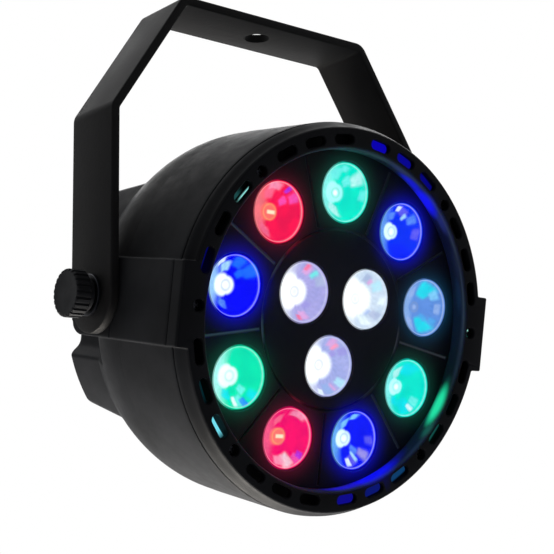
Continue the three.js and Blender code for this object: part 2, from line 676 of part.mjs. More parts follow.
function lensPlaces() {
  const circle = (count, radius, start) =>
    Array.from({ length: count }, (_, i) => onCircle(radius, start + (2 * Math.PI * i) / count));
  return [
    ...circle(OUTER_LENSES, OUTER_LENS_CIRCLE, OUTER_LENS_START),
    ...circle(INNER_LENSES, INNER_LENS_CIRCLE, INNER_LENS_START),
  ];
}

// V-shaped grooves between the outer lenses, and a round one at the edge of the centre disc
function plateGrooves() {
  const half = GROOVE_WIDTH / 2;
  const vee = [
    new THREE.Vector2(PLATE_Y - GROOVE_DEPTH, 2 * half),
    new THREE.Vector2(PLATE_Y - GROOVE_DEPTH, -2 * half),
    new THREE.Vector2(PLATE_Y + GROOVE_DEPTH, 0),
  ];
  const radial = prismX(vee.reverse(), CENTRE_DISC_RADIUS, RIM_OPENING_RADIUS - GROOVE_WIDTH);
  const round = ring([
    [CENTRE_DISC_RADIUS - GROOVE_WIDTH, PLATE_Y - GROOVE_DEPTH],
    [CENTRE_DISC_RADIUS + GROOVE_WIDTH, PLATE_Y - GROOVE_DEPTH],
    [CENTRE_DISC_RADIUS, PLATE_Y + GROOVE_DEPTH],
  ]);
  const step = (2 * Math.PI) / OUTER_LENSES;
  const spokes = Array.from({ length: OUTER_LENSES }, (_, i) =>
    roundAxis(radial, OUTER_LENS_START + (i + 1 / 2) * step),
  );
  return [round, ...spokes];
}

function lensPlate() {
  const disc = cylinderY(LENS_PLATE_RADIUS, PLATE_Y, PLATE_BACK_Y, FINE_STEPS);
  const posts = Array.from({ length: PLATE_POSTS }, (_, i) => {
    const [x, z] = onCircle(PLATE_POST_CIRCLE, PLATE_POST_START + (2 * Math.PI * i) / PLATE_POSTS);
    const startY = PLATE_BACK_Y - LENS_PLATE_THICKNESS / 2;
    return cylinderY(PLATE_POST_RADIUS, startY, LED_BOARD_Y - GAP, SMALL_STEPS, x, z);
  });
  const apertures = lensPlaces().map(([x, z]) =>
    cylinderY(APERTURE_RADIUS, PLATE_Y - OVERRUN, PLATE_BACK_Y + GAP, LENS_STEPS, x, z),
  );
  return cut(join([disc, ...posts]), [...apertures, ...plateGrooves()]);
}

// A collimator: a face in the plate, a flange behind it and a cone down to the emitter
function lens() {
  return ring(
    [
      [0, PLATE_Y + LENS_SET_BACK],
      [LENS_RADIUS, PLATE_Y + LENS_SET_BACK],
      [LENS_RADIUS, LENS_FLANGE_Y],
      [LENS_RADIUS + LENS_FLANGE, LENS_FLANGE_Y],
      [LENS_RADIUS + LENS_FLANGE, LENS_CONE_Y],
      [LENS_CONE_START_RADIUS, LENS_CONE_Y],
      [LENS_CONE_END_RADIUS, LENS_END_Y],
      [LENS_POCKET_RADIUS, LENS_END_Y],
      [LENS_POCKET_RADIUS, LENS_END_Y - LENS_POCKET_DEPTH],
      [0, LENS_END_Y - LENS_POCKET_DEPTH],
    ],
    LENS_STEPS,
  );
}

function emitter(x, z) {
  const half = EMITTER_SIDE / 2;
  const lowY = LED_BOARD_Y - EMITTER_BASE;
  const base = block([-half, lowY, -half], [half, LED_BOARD_Y + EMITTER_BASE / 2, half]);
  const dome = ring(
    [
      [0, lowY],
      ...arc(0, lowY, EMITTER_DOME_RADIUS, 0, -Math.PI / 3, ARC_STEPS / 2).map((point) => [point.x, point.y]),
      [0, lowY - EMITTER_DOME_RADIUS],
    ],
    SMALL_STEPS / 2,
  );
  return [base.translate(x, 0, z), dome.translate(x, 0, z)];
}

function ledBoard() {
  const disc = cylinderY(LED_BOARD_RADIUS, LED_BOARD_Y, LED_BOARD_BACK_Y, FINE_STEPS);
  return join([disc, ...lensPlaces().flatMap(([x, z]) => emitter(x, z))]);
}

function heatSink() {
  const baseBackY = SINK_Y + SINK_BASE;
  const base = cylinderY(DRUM_BORE_RADIUS - GAP, SINK_Y, baseBackY, FINE_STEPS);
  const fins = [];
  for (let i = -SINK_FINS_EACH_SIDE; i <= SINK_FINS_EACH_SIDE; i++) {
    const x = i * SINK_FIN_STEP;
    const reach = Math.sqrt(SINK_FIN_REACH ** 2 - x ** 2);
    const half = SINK_FIN_THICKNESS / 2;
    fins.push(
      block([x - half, baseBackY - SINK_BASE / 2, -reach], [x + half, baseBackY + SINK_FIN_HEIGHT, reach]),
    );
  }
  const hole = cylinderY(
    CABLE_HOLE_RADIUS,
    SINK_Y - OVERRUN,
    baseBackY + OVERRUN,
    SMALL_STEPS,
    CABLE_X,
    CABLE_Z,
  );
  return cut(join([base, ...fins]), [hole]);
}

// The flat boss on each side that the bracket's leg lies against, round at its rear corners
function padOutline(fromY, toY, cornerRadius) {
  const high = PAD_HALF_HEIGHT;
  if (cornerRadius === 0)
    return [
      new THREE.Vector2(fromY, -high),
      new THREE.Vector2(toY, -high),
      new THREE.Vector2(toY, high),
      new THREE.Vector2(fromY, high),
    ];
  const y = toY - cornerRadius;
  const z = high - cornerRadius;
  return [
    new THREE.Vector2(fromY, -high),
    ...arc(y, -z, cornerRadius, -Math.PI / 2, 0),
    ...arc(y, z, cornerRadius, 0, Math.PI / 2),
    new THREE.Vector2(fromY, high),
  ];
}

function frontShell() {
  const drum = ring([
    [DRUM_FRONT_RADIUS, DRUM_FRONT_Y],
    [DRUM_REAR_RADIUS, SEAM_Y],
    [DRUM_BORE_RADIUS, SEAM_Y],
    [DRUM_BORE_RADIUS, LEDGE_BACK_Y],
    [PLATE_LEDGE_RADIUS, LEDGE_BACK_Y],
    [PLATE_LEDGE_RADIUS, LEDGE_Y],
    [LENS_PLATE_RADIUS + GAP, LEDGE_Y],
    [LENS_PLATE_RADIUS + GAP, DRUM_FRONT_Y],
  ]);
  const padStart = DRUM_BORE_RADIUS - WALL;
  const pad = prismX(padOutline(DRUM_FRONT_Y, SEAM_Y, 0), padStart, EAR_FACE_X);
  const bore = cylinderY(DRUM_BORE_RADIUS, LEDGE_BACK_Y, SEAM_Y + OVERRUN, FINE_STEPS);
  const bosses = rimScrewPlaces().map(([x, z]) =>
    cylinderY(SCREW_BOSS_RADIUS, LEDGE_Y, DRUM_FRONT_Y + DRUM_BOSS_LENGTH, SMALL_STEPS, x, z),
  );
  const holes = rimScrewPlaces().map(([x, z]) =>
    cylinderY(
      SCREW_RADIUS + GAP,
      DRUM_FRONT_Y - OVERRUN,
      DRUM_FRONT_Y + DRUM_BOSS_LENGTH + OVERRUN,
      SMALL_STEPS,
      x,
      z,
    ),
  );
  const walls = cut(join([drum, ...bothSides(pad)]), [bore]);
  return cut(join([walls, ...bosses]), holes);
}

// Radius of the round shoulder at a distance behind the start of its arc
function shoulderRadius(distance, startRadius, arcRadius) {
  return startRadius - arcRadius + Math.sqrt(arcRadius ** 2 - distance ** 2);
}

// The rear shell's form, moved in by an inset: the round shoulder and the box behind it
function rearForm(inset) {
  const arcPoints = Array.from({ length: ARC_STEPS + 1 }, (_, i) => {
    const distance = (SHOULDER_ARC_LENGTH * i) / ARC_STEPS;
    const radius = shoulderRadius(distance, SHOULDER_RADIUS, SHOULDER_ARC_RADIUS);
    return [radius - inset, SHOULDER_ARC_Y + distance - (inset * i) / ARC_STEPS];
  });
  const startY = inset > 0 ? SHELL_Y - SPIGOT_LENGTH - OVERRUN : SHELL_Y;
  const shoulder = ring([
    [0, startY],
    [SHOULDER_RADIUS - inset, startY],
    ...arcPoints,
    [0, SHELF_Y - inset],
  ]);
  const backY = BACK_FROM_AXIS - inset;
  const round = BOX_EDGE_RADIUS;
  const boxStartY = SHELF_Y - inset - WALL;
  const barrel = ring([
    [0, boxStartY],
    [BOX_RADIUS - inset, boxStartY],
    ...arc(BOX_RADIUS - inset - round, backY - round, round, 0, Math.PI / 2, ARC_STEPS / 2).map(
      ({ x, y }) => [x, y],
    ),
    [0, backY],
  ]);
  const front = BOX_HALF_HEIGHT_FRONT - inset;
  const back = BOX_HALF_HEIGHT_BACK - inset;
  const drafted = [
    new THREE.Vector2(boxStartY, -front),
    new THREE.Vector2(backY, -back),
    new THREE.Vector2(backY, back),
    new THREE.Vector2(boxStartY, front),
  ];
  return join([shoulder, common(barrel, prismX(drafted, -BOX_RADIUS, BOX_RADIUS))]);
}

// The channel beside and behind a pad, widened by a wall for the inside of the shell
function sideChannel(wall) {
  const floor = CHANNEL_FLOOR_X - wall;
  const mouth = BOX_RADIUS + OVERRUN;
  const half = CHANNEL_HALF_HEIGHT + wall;
  const mouthHalf = half + (mouth - floor) * CHANNEL_FLARE;
  const outline = [
    new THREE.Vector2(floor, -half),
    new THREE.Vector2(mouth, -mouthHalf),
    new THREE.Vector2(mouth, mouthHalf),
    new THREE.Vector2(floor, half),
  ];
  return prismY(outline, CHANNEL_FRONT - wall, BACK_FROM_AXIS + OVERRUN);
}

function rearShell() {
  const outside = cut(rearForm(0), bothSides(sideChannel(0)));
  const inside = cut(rearForm(WALL), bothSides(sideChannel(WALL)));
  const pad = prismX(
    padOutline(SHELL_Y, PAD_REAR, PAD_CORNER_RADIUS),
    CHANNEL_FLOOR_X - WALL / 2,
    EAR_FACE_X,
  );
  const core = cylinderY(SHOULDER_RADIUS - WALL, SHELL_Y - OVERRUN, CHANNEL_FRONT - WALL, FINE_STEPS);
  const pads = bothSides(pad).map((side) => cut(side, [core]));
  const boss = cylinderX(
    INSERT_RADIUS + GAP + INSERT_BOSS_WALL,
    INSERT_IN_X - GAP - INSERT_BOSS_WALL,
    EAR_FACE_X - FRICTION_DISC_THICKNESS,
    LENS_STEPS,
  );
  const spigot = ring([
    [DRUM_BORE_RADIUS - GAP, SHELL_Y - SPIGOT_LENGTH],
    [DRUM_BORE_RADIUS - GAP, SHELL_Y + SPIGOT_ROOT],
    [DRUM_BORE_RADIUS - GAP - SPIGOT_WALL, SHELL_Y + SPIGOT_ROOT],
    [DRUM_BORE_RADIUS - GAP - SPIGOT_WALL, SHELL_Y - SPIGOT_LENGTH],
  ]);
  const frame = block(
    [-PANEL_HALF_WIDTH - WALL, LIP_Y - WALL, -PANEL_HALF_HEIGHT - WALL],
    [PANEL_HALF_WIDTH + WALL, BACK_FROM_AXIS - WALL / 2, PANEL_HALF_HEIGHT + WALL],
  );
  const posts = [-1, 1].flatMap((sideX) =>
    [-1, 1].map((sideZ) =>
      cylinderY(
        BOARD_POST_RADIUS,
        POWER_BOARD_BACK_Y + GAP,
        SHELF_Y - WALL / 2,
        SMALL_STEPS,
        sideX * BOARD_POST_X,
        sideZ * BOARD_POST_Z,
      ),
    ),
  );
  const walls = join([
    cut(outside, [inside]),
    ...pads,
    ...bothSides(boss),
    spigot,
    frame,
    ...posts,
  ]);
  const insertHole = cylinderX(INSERT_RADIUS + GAP, INSERT_IN_X - GAP, EAR_FACE_X + OVERRUN, LENS_STEPS);
  const discHole = cylinderX(FRICTION_DISC_RADIUS + GAP, DISC_X - GAP, EAR_FACE_X + OVERRUN, LENS_STEPS);
  const seat = prismY(
    roundedRectangle(0, 0, PANEL_HALF_WIDTH + GAP, PANEL_HALF_HEIGHT + GAP, PANEL_CORNER_RADIUS),
    LIP_Y,
    BACK_FROM_AXIS + OVERRUN,
  );
  const openingX = PANEL_HALF_WIDTH - PANEL_LIP;
  const openingZ = PANEL_HALF_HEIGHT - PANEL_LIP;
  const opening = block(
    [-openingX, LIP_Y - WALL - OVERRUN, -openingZ],
    [openingX, BACK_FROM_AXIS, openingZ],
  );
  const screwHoles = panelScrewPlaces().map(([x, z]) =>
    cylinderY(SCREW_RADIUS + GAP, LIP_Y - WALL - OVERRUN, LIP_Y + OVERRUN, SMALL_STEPS, x, z),
  );
  return cut(walls, [
    ...bothSides(insertHole),
    ...bothSides(discHole),
    seat,
    opening,
    ...screwHoles,
  ]);
}

function panelScrewPlaces() {
  const x = PANEL_HALF_WIDTH - PANEL_SCREW_INSET;
  const z = PANEL_HALF_HEIGHT - PANEL_SCREW_INSET;
  return [
    [-x, -z],
    [x, -z],
    [-x, z],
    [x, z],
  ];
}

function buttonPlaces() {
  return Array.from({ length: BUTTONS }, (_, i) => (i - (BUTTONS - 1) / 2) * BUTTON_STEP);
}

function controlPostPlaces() {
  const x = CONTROL_BOARD_HALF_WIDTH - BOARD_HOLE_INSET;
  const lowZ = CONTROL_BOARD_LOW_Z + BOARD_HOLE_INSET;
  const highZ = CONTROL_BOARD_HIGH_Z - BOARD_HOLE_INSET;
  return [
    [-x, lowZ],
    [x, lowZ],
    [-x, highZ],
    [x, highZ],
  ];
}

function rearPanel() {
  const plate = prismY(
    roundedRectangle(0, 0, PANEL_HALF_WIDTH, PANEL_HALF_HEIGHT, PANEL_CORNER_RADIUS),
    PANEL_IN_Y,
    PANEL_OUT_Y,
  );
  const posts = controlPostPlaces().map(([x, z]) =>
    cylinderY(PANEL_POST_RADIUS, CONTROL_BOARD_Y + GAP, PANEL_IN_Y + PANEL_THICKNESS / 2, SMALL_STEPS, x, z),
  );
  const hole = (radius, x, z, steps = SMALL_STEPS) =>
    cylinderY(radius, PANEL_IN_Y - OVERRUN, PANEL_OUT_Y + OVERRUN, steps, x, z);
  const window = block(
    [-WINDOW_HALF_WIDTH - GAP, PANEL_IN_Y - OVERRUN, DISPLAY_Z - WINDOW_HALF_HEIGHT - GAP],
    [WINDOW_HALF_WIDTH + GAP, PANEL_OUT_Y + OVERRUN, DISPLAY_Z + WINDOW_HALF_HEIGHT + GAP],
  );
  const inlet = block(
    [-INLET_HALF_WIDTH - GAP, PANEL_IN_Y - OVERRUN, INLET_Z - INLET_HALF_HEIGHT - GAP],
    [INLET_HALF_WIDTH + GAP, PANEL_OUT_Y + OVERRUN, INLET_Z + INLET_HALF_HEIGHT + GAP],
  );
  const latchHalf = LATCH_HALF_WIDTH + 2 * GAP;
  const latch = block(
    [SOCKET_X - latchHalf, PANEL_IN_Y - OVERRUN, SOCKET_Z],
    [SOCKET_X + latchHalf, PANEL_OUT_Y + OVERRUN, latchTop() + 2 * GAP],
  );
  return cut(join([plate, ...posts]), [
    window,
    inlet,
    latch,
    hole(SOCKET_BODY_RADIUS + GAP, -SOCKET_X, SOCKET_Z, LENS_STEPS),
    hole(SOCKET_BODY_RADIUS + GAP, SOCKET_X, SOCKET_Z, LENS_STEPS),
    hole(MICROPHONE_RADIUS + GAP, MICROPHONE_X, DISPLAY_Z),
    ...buttonPlaces().map((x) => hole(BUTTON_RADIUS + GAP, x, BUTTON_Z)),
    ...panelScrewPlaces().map(([x, z]) => hole(SCREW_RADIUS + GAP, x, z)),
  ]);
}

function displayWindow() {
  const flangeY = PANEL_IN_Y - GAP;
  const pane = block(
    [-WINDOW_HALF_WIDTH, flangeY - WINDOW_FLANGE_THICKNESS, DISPLAY_Z - WINDOW_HALF_HEIGHT],
    [WINDOW_HALF_WIDTH, PANEL_OUT_Y + GAP, DISPLAY_Z + WINDOW_HALF_HEIGHT],
  );
  const halfX = WINDOW_HALF_WIDTH + WINDOW_FLANGE;
  const halfZ = WINDOW_HALF_HEIGHT + WINDOW_FLANGE;
  const flange = block(
    [-halfX, flangeY - WINDOW_FLANGE_THICKNESS, DISPLAY_Z - halfZ],
    [halfX, flangeY, DISPLAY_Z + halfZ],
  );
  return join([pane, flange]);
}

function displayModule() {
  const frontY = PANEL_IN_Y - GAP - WINDOW_FLANGE_THICKNESS - GAP;
  return block(
    [-MODULE_HALF_WIDTH, CONTROL_BOARD_Y + GAP, DISPLAY_Z - MODULE_HALF_HEIGHT],
    [MODULE_HALF_WIDTH, frontY, DISPLAY_Z + MODULE_HALF_HEIGHT],
  );
}

// The board behind the panel, with one press switch under each button
function controlBoard() {
  const board = block(
    [-CONTROL_BOARD_HALF_WIDTH, CONTROL_BOARD_Y - BOARD_THICKNESS, CONTROL_BOARD_LOW_Z],
    [CONTROL_BOARD_HALF_WIDTH, CONTROL_BOARD_Y, CONTROL_BOARD_HIGH_Z],
  );
  const half = SWITCH_SIDE / 2;
  const switches = buttonPlaces().map((x) =>
    block(
      [x - half, CONTROL_BOARD_Y - BOARD_THICKNESS / 2, BUTTON_Z - half],
      [x + half, CONTROL_BOARD_Y + SWITCH_HEIGHT, BUTTON_Z + half],
    ),
  );
  return join([board, ...switches]);
}

// A button is pressed towards -Y, and its stem stops short of the switch by its travel
function button() {
  const flangeY = PANEL_IN_Y - GAP;
  const stemY = CONTROL_BOARD_Y + SWITCH_HEIGHT + BUTTON_TRAVEL + GAP;
  return ring(
    [
      [0, stemY],
      [BUTTON_STEM_RADIUS, stemY],
      [BUTTON_STEM_RADIUS, flangeY - BUTTON_FLANGE_THICKNESS],
      [BUTTON_FLANGE_RADIUS, flangeY - BUTTON_FLANGE_THICKNESS],
      [BUTTON_FLANGE_RADIUS, flangeY],
      [BUTTON_RADIUS, flangeY],
      [BUTTON_RADIUS, PANEL_OUT_Y + BUTTON_PROUD - BUTTON_EDGE],
      [BUTTON_RADIUS - BUTTON_EDGE, PANEL_OUT_Y + BUTTON_PROUD],
      [0, PANEL_OUT_Y + BUTTON_PROUD],
    ],
    SMALL_STEPS,
  );
}

function microphone() {
  const canY = PANEL_IN_Y - GAP;
  return ring(
    [
      [0, canY - MICROPHONE_CAN_LENGTH],
      [MICROPHONE_CAN_RADIUS, canY - MICROPHONE_CAN_LENGTH],
      [MICROPHONE_CAN_RADIUS, canY],
      [MICROPHONE_RADIUS, canY],
      [MICROPHONE_RADIUS, PANEL_OUT_Y],
      [0, PANEL_OUT_Y],
    ],
    SMALL_STEPS,
  );
}

// A round socket shell on a square flange, open to the rear of the lamp
function socketShell() {
  const flange = prismY(
    roundedRectangle(0, 0, SOCKET_FLANGE_HALF, SOCKET_FLANGE_HALF, SOCKET_CORNER_RADIUS),
    FLANGE_SEAT_Y,
    FLANGE_SEAT_Y + SOCKET_FLANGE_THICKNESS,
  );
  const bottomY = FLANGE_SEAT_Y + SOCKET_FLANGE_THICKNESS - SOCKET_DEPTH;
  const body = cylinderY(SOCKET_BODY_RADIUS, bottomY, FLANGE_SEAT_Y + GAP, LENS_STEPS);
  const bore = cylinderY(SOCKET_BORE_RADIUS, bottomY + SOCKET_FLOOR, FLANGE_SEAT_Y + OVERRUN, LENS_STEPS);
  return cut(join([flange, body]), [bore]);
}

function socketFloorY() {
  return FLANGE_SEAT_Y + SOCKET_FLANGE_THICKNESS - SOCKET_DEPTH + SOCKET_FLOOR + GAP;
}

function pinPlaces() {
  const step = (2 * Math.PI) / PINS;
  return Array.from({ length: PINS }, (_, i) => onCircle(PIN_CIRCLE, i * step - Math.PI / 2));
}

function socketPins() {
  const startY = socketFloorY();
  const topY = startY + INSULATOR_THICKNESS;
  const disc = cylinderY(SOCKET_BORE_RADIUS - GAP, startY, topY, LENS_STEPS);
  const pins = pinPlaces().map(([x, z]) =>
    cylinderY(PIN_RADIUS, topY - INSULATOR_THICKNESS / 2, topY + PIN_LENGTH, SMALL_STEPS / 2, x, z),
  );
  return join([disc, ...pins]);
}

function socketContacts() {
  const topY = FLANGE_SEAT_Y + SOCKET_FLANGE_THICKNESS - CONTACTS_SET_BACK;
  const insulator = cylinderY(SOCKET_BORE_RADIUS - GAP, socketFloorY(), topY, LENS_STEPS);
  const holes = pinPlaces().map(([x, z]) =>
    cylinderY(PIN_HOLE_RADIUS, topY - PIN_LENGTH, topY + OVERRUN, SMALL_STEPS / 2, x, z),
  );
  return cut(insulator, holes);
}

function latchTop() {
  return SOCKET_Z + SOCKET_BORE_RADIUS + GAP + LATCH_HEIGHT + GAP;
}

// The release tab sits above the bore and is pressed in towards -Y
function socketLatch() {
  const outY = FLANGE_SEAT_Y + SOCKET_FLANGE_THICKNESS + LATCH_PROUD;
  return block(
    [-LATCH_HALF_WIDTH, outY - LATCH_PROUD - LATCH_DEPTH, SOCKET_BORE_RADIUS + 2 * GAP],
    [LATCH_HALF_WIDTH, outY, SOCKET_BORE_RADIUS + 2 * GAP + LATCH_HEIGHT],
  );
}

function socketWithLatchSlot() {
  const endY = FLANGE_SEAT_Y + SOCKET_FLANGE_THICKNESS - LATCH_DEPTH - LATCH_TRAVEL - GAP;
  const slot = block(
    [-LATCH_HALF_WIDTH - GAP, endY, SOCKET_BORE_RADIUS + GAP],
    [LATCH_HALF_WIDTH + GAP, FLANGE_SEAT_Y + OVERRUN, SOCKET_BORE_RADIUS + 3 * GAP + LATCH_HEIGHT],
  );
  return cut(socketShell(), [slot]);
}

// The inlet's outline, with its two lower corners cut off so that a plug fits one way only
function inletOutline(inset) {
  const x = INLET_HALF_WIDTH - inset;
  const z = INLET_HALF_HEIGHT - inset;
  const corner = INLET_CORNER_CUT;
  return [
    new THREE.Vector2(-x, INLET_Z + z),
    new THREE.Vector2(-x, INLET_Z - z + corner),
    new THREE.Vector2(-x + corner, INLET_Z - z),
    new THREE.Vector2(x - corner, INLET_Z - z),
    new THREE.Vector2(x, INLET_Z - z + corner),
    new THREE.Vector2(x, INLET_Z + z),
  ];
}

function powerInlet() {
  const outY = FLANGE_SEAT_Y + INLET_FLANGE_THICKNESS;
  const backY = outY - INLET_DEPTH;
  const floorY = backY + INLET_FLOOR;
  const flange = prismY(
    roundedRectangle(
      0,
      INLET_Z,
      INLET_HALF_WIDTH + INLET_FLANGE,
      INLET_HALF_HEIGHT + INLET_FLANGE,
      INLET_FLANGE,
    ),
    FLANGE_SEAT_Y,
    outY,
  );
  const body = prismY(inletOutline(0), backY, FLANGE_SEAT_Y + GAP);
  const cavity = prismY(inletOutline(INLET_WALL), floorY, outY + OVERRUN);
  const blades = [
    [-BLADE_SPREAD, -BLADE_RISE],
    [0, BLADE_RISE],
    [BLADE_SPREAD, -BLADE_RISE],
  ].map(([x, z]) =>
    block(
      [x - BLADE_HALF_WIDTH, floorY - INLET_FLOOR / 2, INLET_Z + z - BLADE_HALF_HEIGHT],
      [x + BLADE_HALF_WIDTH, floorY + BLADE_LENGTH, INLET_Z + z + BLADE_HALF_HEIGHT],
    ),
  );
  return join([cut(join([flange, body]), [cavity]), ...blades]);
}

function powerBoard() {
  return block(
    [-POWER_BOARD_HALF_WIDTH, POWER_BOARD_Y, -POWER_BOARD_HALF_HEIGHT],
    [POWER_BOARD_HALF_WIDTH, POWER_BOARD_BACK_Y, POWER_BOARD_HALF_HEIGHT],
  );
}

// A ferrite core with a wound middle that stands proud of it
function transformer() {
  const nearY = POWER_BOARD_Y - GAP;
  const farY = nearY - TRANSFORMER_DEPTH;
  const middleY = (nearY + farY) / 2;
  const halfX = TRANSFORMER_HALF_WIDTH * WINDING_SHARE;
  const halfY = (TRANSFORMER_DEPTH / 2) * WINDING_SHARE;
  const core = block(
    [-TRANSFORMER_HALF_WIDTH, farY, -TRANSFORMER_HALF_HEIGHT / 2],
    [TRANSFORMER_HALF_WIDTH, nearY, TRANSFORMER_HALF_HEIGHT / 2],
  );
  const winding = block(
    [-halfX, middleY - halfY, -TRANSFORMER_HALF_HEIGHT],
    [halfX, middleY + halfY, TRANSFORMER_HALF_HEIGHT],
  );
  return join([core, winding]);
}

function capacitor() {
  const nearY = POWER_BOARD_Y - GAP;
  return cylinderY(CAPACITOR_RADIUS, nearY - CAPACITOR_LENGTH, nearY, LENS_STEPS);
}

// The feed to the light engine runs straight through the heat sink
function ledCable() {
  return cylinderY(CABLE_RADIUS, LED_BOARD_BACK_Y + GAP, POWER_BOARD_Y - GAP, SMALL_STEPS / 2);
}

const light = new THREE.Group();
const clampAxis = new THREE.Group();
clampAxis.position.z = -AXIS_DROP;
const head = new THREE.Group();
head.position.z = -AXIS_DROP;
head.rotation.x = HEAD_TILT;
light.add(clampAxis, head);

light.add(mesh("bracket", bracket(), MATERIALS.powder_coat));

// Adds a named piece to a group, at a place on the plane of X and Z
function add(group, name, shape, material, [x, z] = [0, 0]) {
  const item = mesh(name, shape, material);
  item.position.set(x, 0, z);
  group.add(item);
  return item;
}

// A pair of pieces on the clamp axis: the left one is the right one after a half turn
function addPair(group, name, shape, material) {
  add(group, name + "_right", shape, material);
  add(group, name + "_left", shape, material).rotation.y = Math.PI;
}

addPair(clampAxis, "washer", washer(), MATERIALS.steel);
addPair(clampAxis, "knob", knob(), MATERIALS.knob_plastic);
addPair(clampAxis, "stud", stud(), MATERIALS.steel);
addPair(head, "friction_disc", frictionDisc(), MATERIALS.rubber);
addPair(head, "threaded_insert", threadedInsert(), MATERIALS.brass);

add(head, "front_bezel", frontBezel(), MATERIALS.rim_plastic);
add(head, "lens_plate", lensPlate(), MATERIALS.rim_plastic);
add(head, "led_board", ledBoard(), MATERIALS.board_white);
add(head, "heat_sink", heatSink(), MATERIALS.aluminium);
add(head, "front_shell", frontShell(), MATERIALS.shell_plastic);
add(head, "rear_shell", rearShell(), MATERIALS.shell_plastic);
add(head, "rear_panel", rearPanel(), MATERIALS.powder_coat);
add(head, "display_window", displayWindow(), MATERIALS.window);
add(head, "display_module", displayModule(), MATERIALS.display);
add(head, "control_board", controlBoard(), MATERIALS.board_green);
add(head, "power_board", powerBoard(), MATERIALS.board_green);
add(head, "transformer", transformer(), MATERIALS.copper_yellow, [TRANSFORMER_X, TRANSFORMER_Z]);
add(head, "mains_capacitor", capacitor(), MATERIALS.sleeve_blue, [CAPACITOR_X, CAPACITOR_Z]);
add(head, "led_cable", ledCable(), MATERIALS.cable, [CABLE_X, CABLE_Z]);
add(head, "power_inlet", powerInlet(), MATERIALS.socket_plastic);
add(head, "microphone", microphone(), MATERIALS.pin_metal, [MICROPHONE_X, DISPLAY_Z]);

const SIGNAL_IN = [-SOCKET_X, SOCKET_Z];
const SIGNAL_OUT = [SOCKET_X, SOCKET_Z];
add(head, "signal_in_socket", socketShell(), MATERIALS.socket_plastic, SIGNAL_IN);
add(head, "signal_in_pins", socketPins(), MATERIALS.pin_metal, SIGNAL_IN);
add(head, "signal_out_socket", socketWithLatchSlot(), MATERIALS.socket_plastic, SIGNAL_OUT);
add(head, "signal_out_contacts", socketContacts(), MATERIALS.socket_plastic, SIGNAL_OUT);
add(head, "signal_out_latch", socketLatch(), MATERIALS.steel, SIGNAL_OUT);

lensPlaces().forEach((place, i) => {
  add(head, "lens_" + String(i + 1).padStart(2, "0"), lens(), MATERIALS.acrylic, place);
});
rimScrewPlaces().forEach((place, i) => {
  const seatY = RIM_Y + SCREW_SINK_DEPTH - GAP;
  add(head, "rim_screw_" + (i + 1), screw(seatY), MATERIALS.steel, place);
});
panelScrewPlaces().forEach((place, i) => {
  const item = add(head, "panel_screw_" + (i + 1), screw(-PANEL_OUT_Y - GAP), MATERIALS.steel, place);
  item.rotation.z = Math.PI;
});
buttonPlaces().forEach((x, i) => {
  add(head, "button_" + (i + 1), button(), MATERIALS.rubber, [x, BUTTON_Z]);
});

export default light;
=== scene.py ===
# %% [markdown]
# # A small stage light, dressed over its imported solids
# The light is a round head with twelve coloured lenses. It hangs in a bent strip bracket between two
# clamp knobs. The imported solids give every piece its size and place, and this file gives each one its
# finished surface. They are loaded first, because everything after this is measured against them.

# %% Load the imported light
import json
import math

import bmesh
import bpy
import numpy as np
from mathutils import Matrix

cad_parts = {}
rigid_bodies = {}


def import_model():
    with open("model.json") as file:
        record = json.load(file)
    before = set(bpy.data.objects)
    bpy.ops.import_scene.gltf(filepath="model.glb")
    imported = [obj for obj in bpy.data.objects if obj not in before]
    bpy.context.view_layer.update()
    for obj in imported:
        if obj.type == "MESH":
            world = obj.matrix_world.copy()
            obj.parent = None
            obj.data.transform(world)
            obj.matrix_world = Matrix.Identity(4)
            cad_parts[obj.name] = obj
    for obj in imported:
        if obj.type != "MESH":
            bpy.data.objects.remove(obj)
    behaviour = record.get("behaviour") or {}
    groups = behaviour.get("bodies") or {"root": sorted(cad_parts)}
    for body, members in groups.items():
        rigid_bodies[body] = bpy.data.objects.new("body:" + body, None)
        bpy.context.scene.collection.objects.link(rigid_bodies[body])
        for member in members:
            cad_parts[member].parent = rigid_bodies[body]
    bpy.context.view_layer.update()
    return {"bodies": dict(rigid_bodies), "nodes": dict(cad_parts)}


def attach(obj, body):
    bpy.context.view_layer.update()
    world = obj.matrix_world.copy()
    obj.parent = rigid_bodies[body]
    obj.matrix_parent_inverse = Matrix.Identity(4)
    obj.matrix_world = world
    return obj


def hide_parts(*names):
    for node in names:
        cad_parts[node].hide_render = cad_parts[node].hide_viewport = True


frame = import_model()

# %% [markdown]
# ## Two frames
# Drawings of the head are simplest with the light's axis along Y and the clamp axis at the origin, in
# millimetres. The head hangs tilted, front side down, so one function turns such points into the place
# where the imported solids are. Pieces of the bracket are drawn where they are, so theirs leaves them.

# %% From drawing to place
MM = 0.001
TILT = math.radians(10.2)
AXIS_DROP = 119.0


def head_place(points):
    """y' = y cos t - z sin t and z' = y sin t + z cos t - drop, for the tilt t about the clamp axis."""
    x, y, z = np.moveaxis(np.asarray(points, float), -1, 0)
    cos, sin = math.cos(TILT), math.sin(TILT)
    return np.stack([x, y * cos - z * sin, y * sin + z * cos - AXIS_DROP], -1)


def clamp_place(points):
    """The same origin without the tilt: z' = z - drop."""
    return np.asarray(points, float) - [0, 0, AXIS_DROP]


def row_place(points):
    """Nothing is changed: the bracket's own drawing already has its place."""
    return np.asarray(points, float)


print("lens plate centre:", np.round(head_place([0, -45.6, 0]), 2))

# %% [markdown]
# ## One way to make a surface
# Every new piece is a grid of points: rows along one direction, columns along the other. It could be
# built with modelling tools, but a grid that numpy works out in one go is exact and easy to change. Rows
# that shrink to one point close a pole. The volume's sign tells which way the faces point.

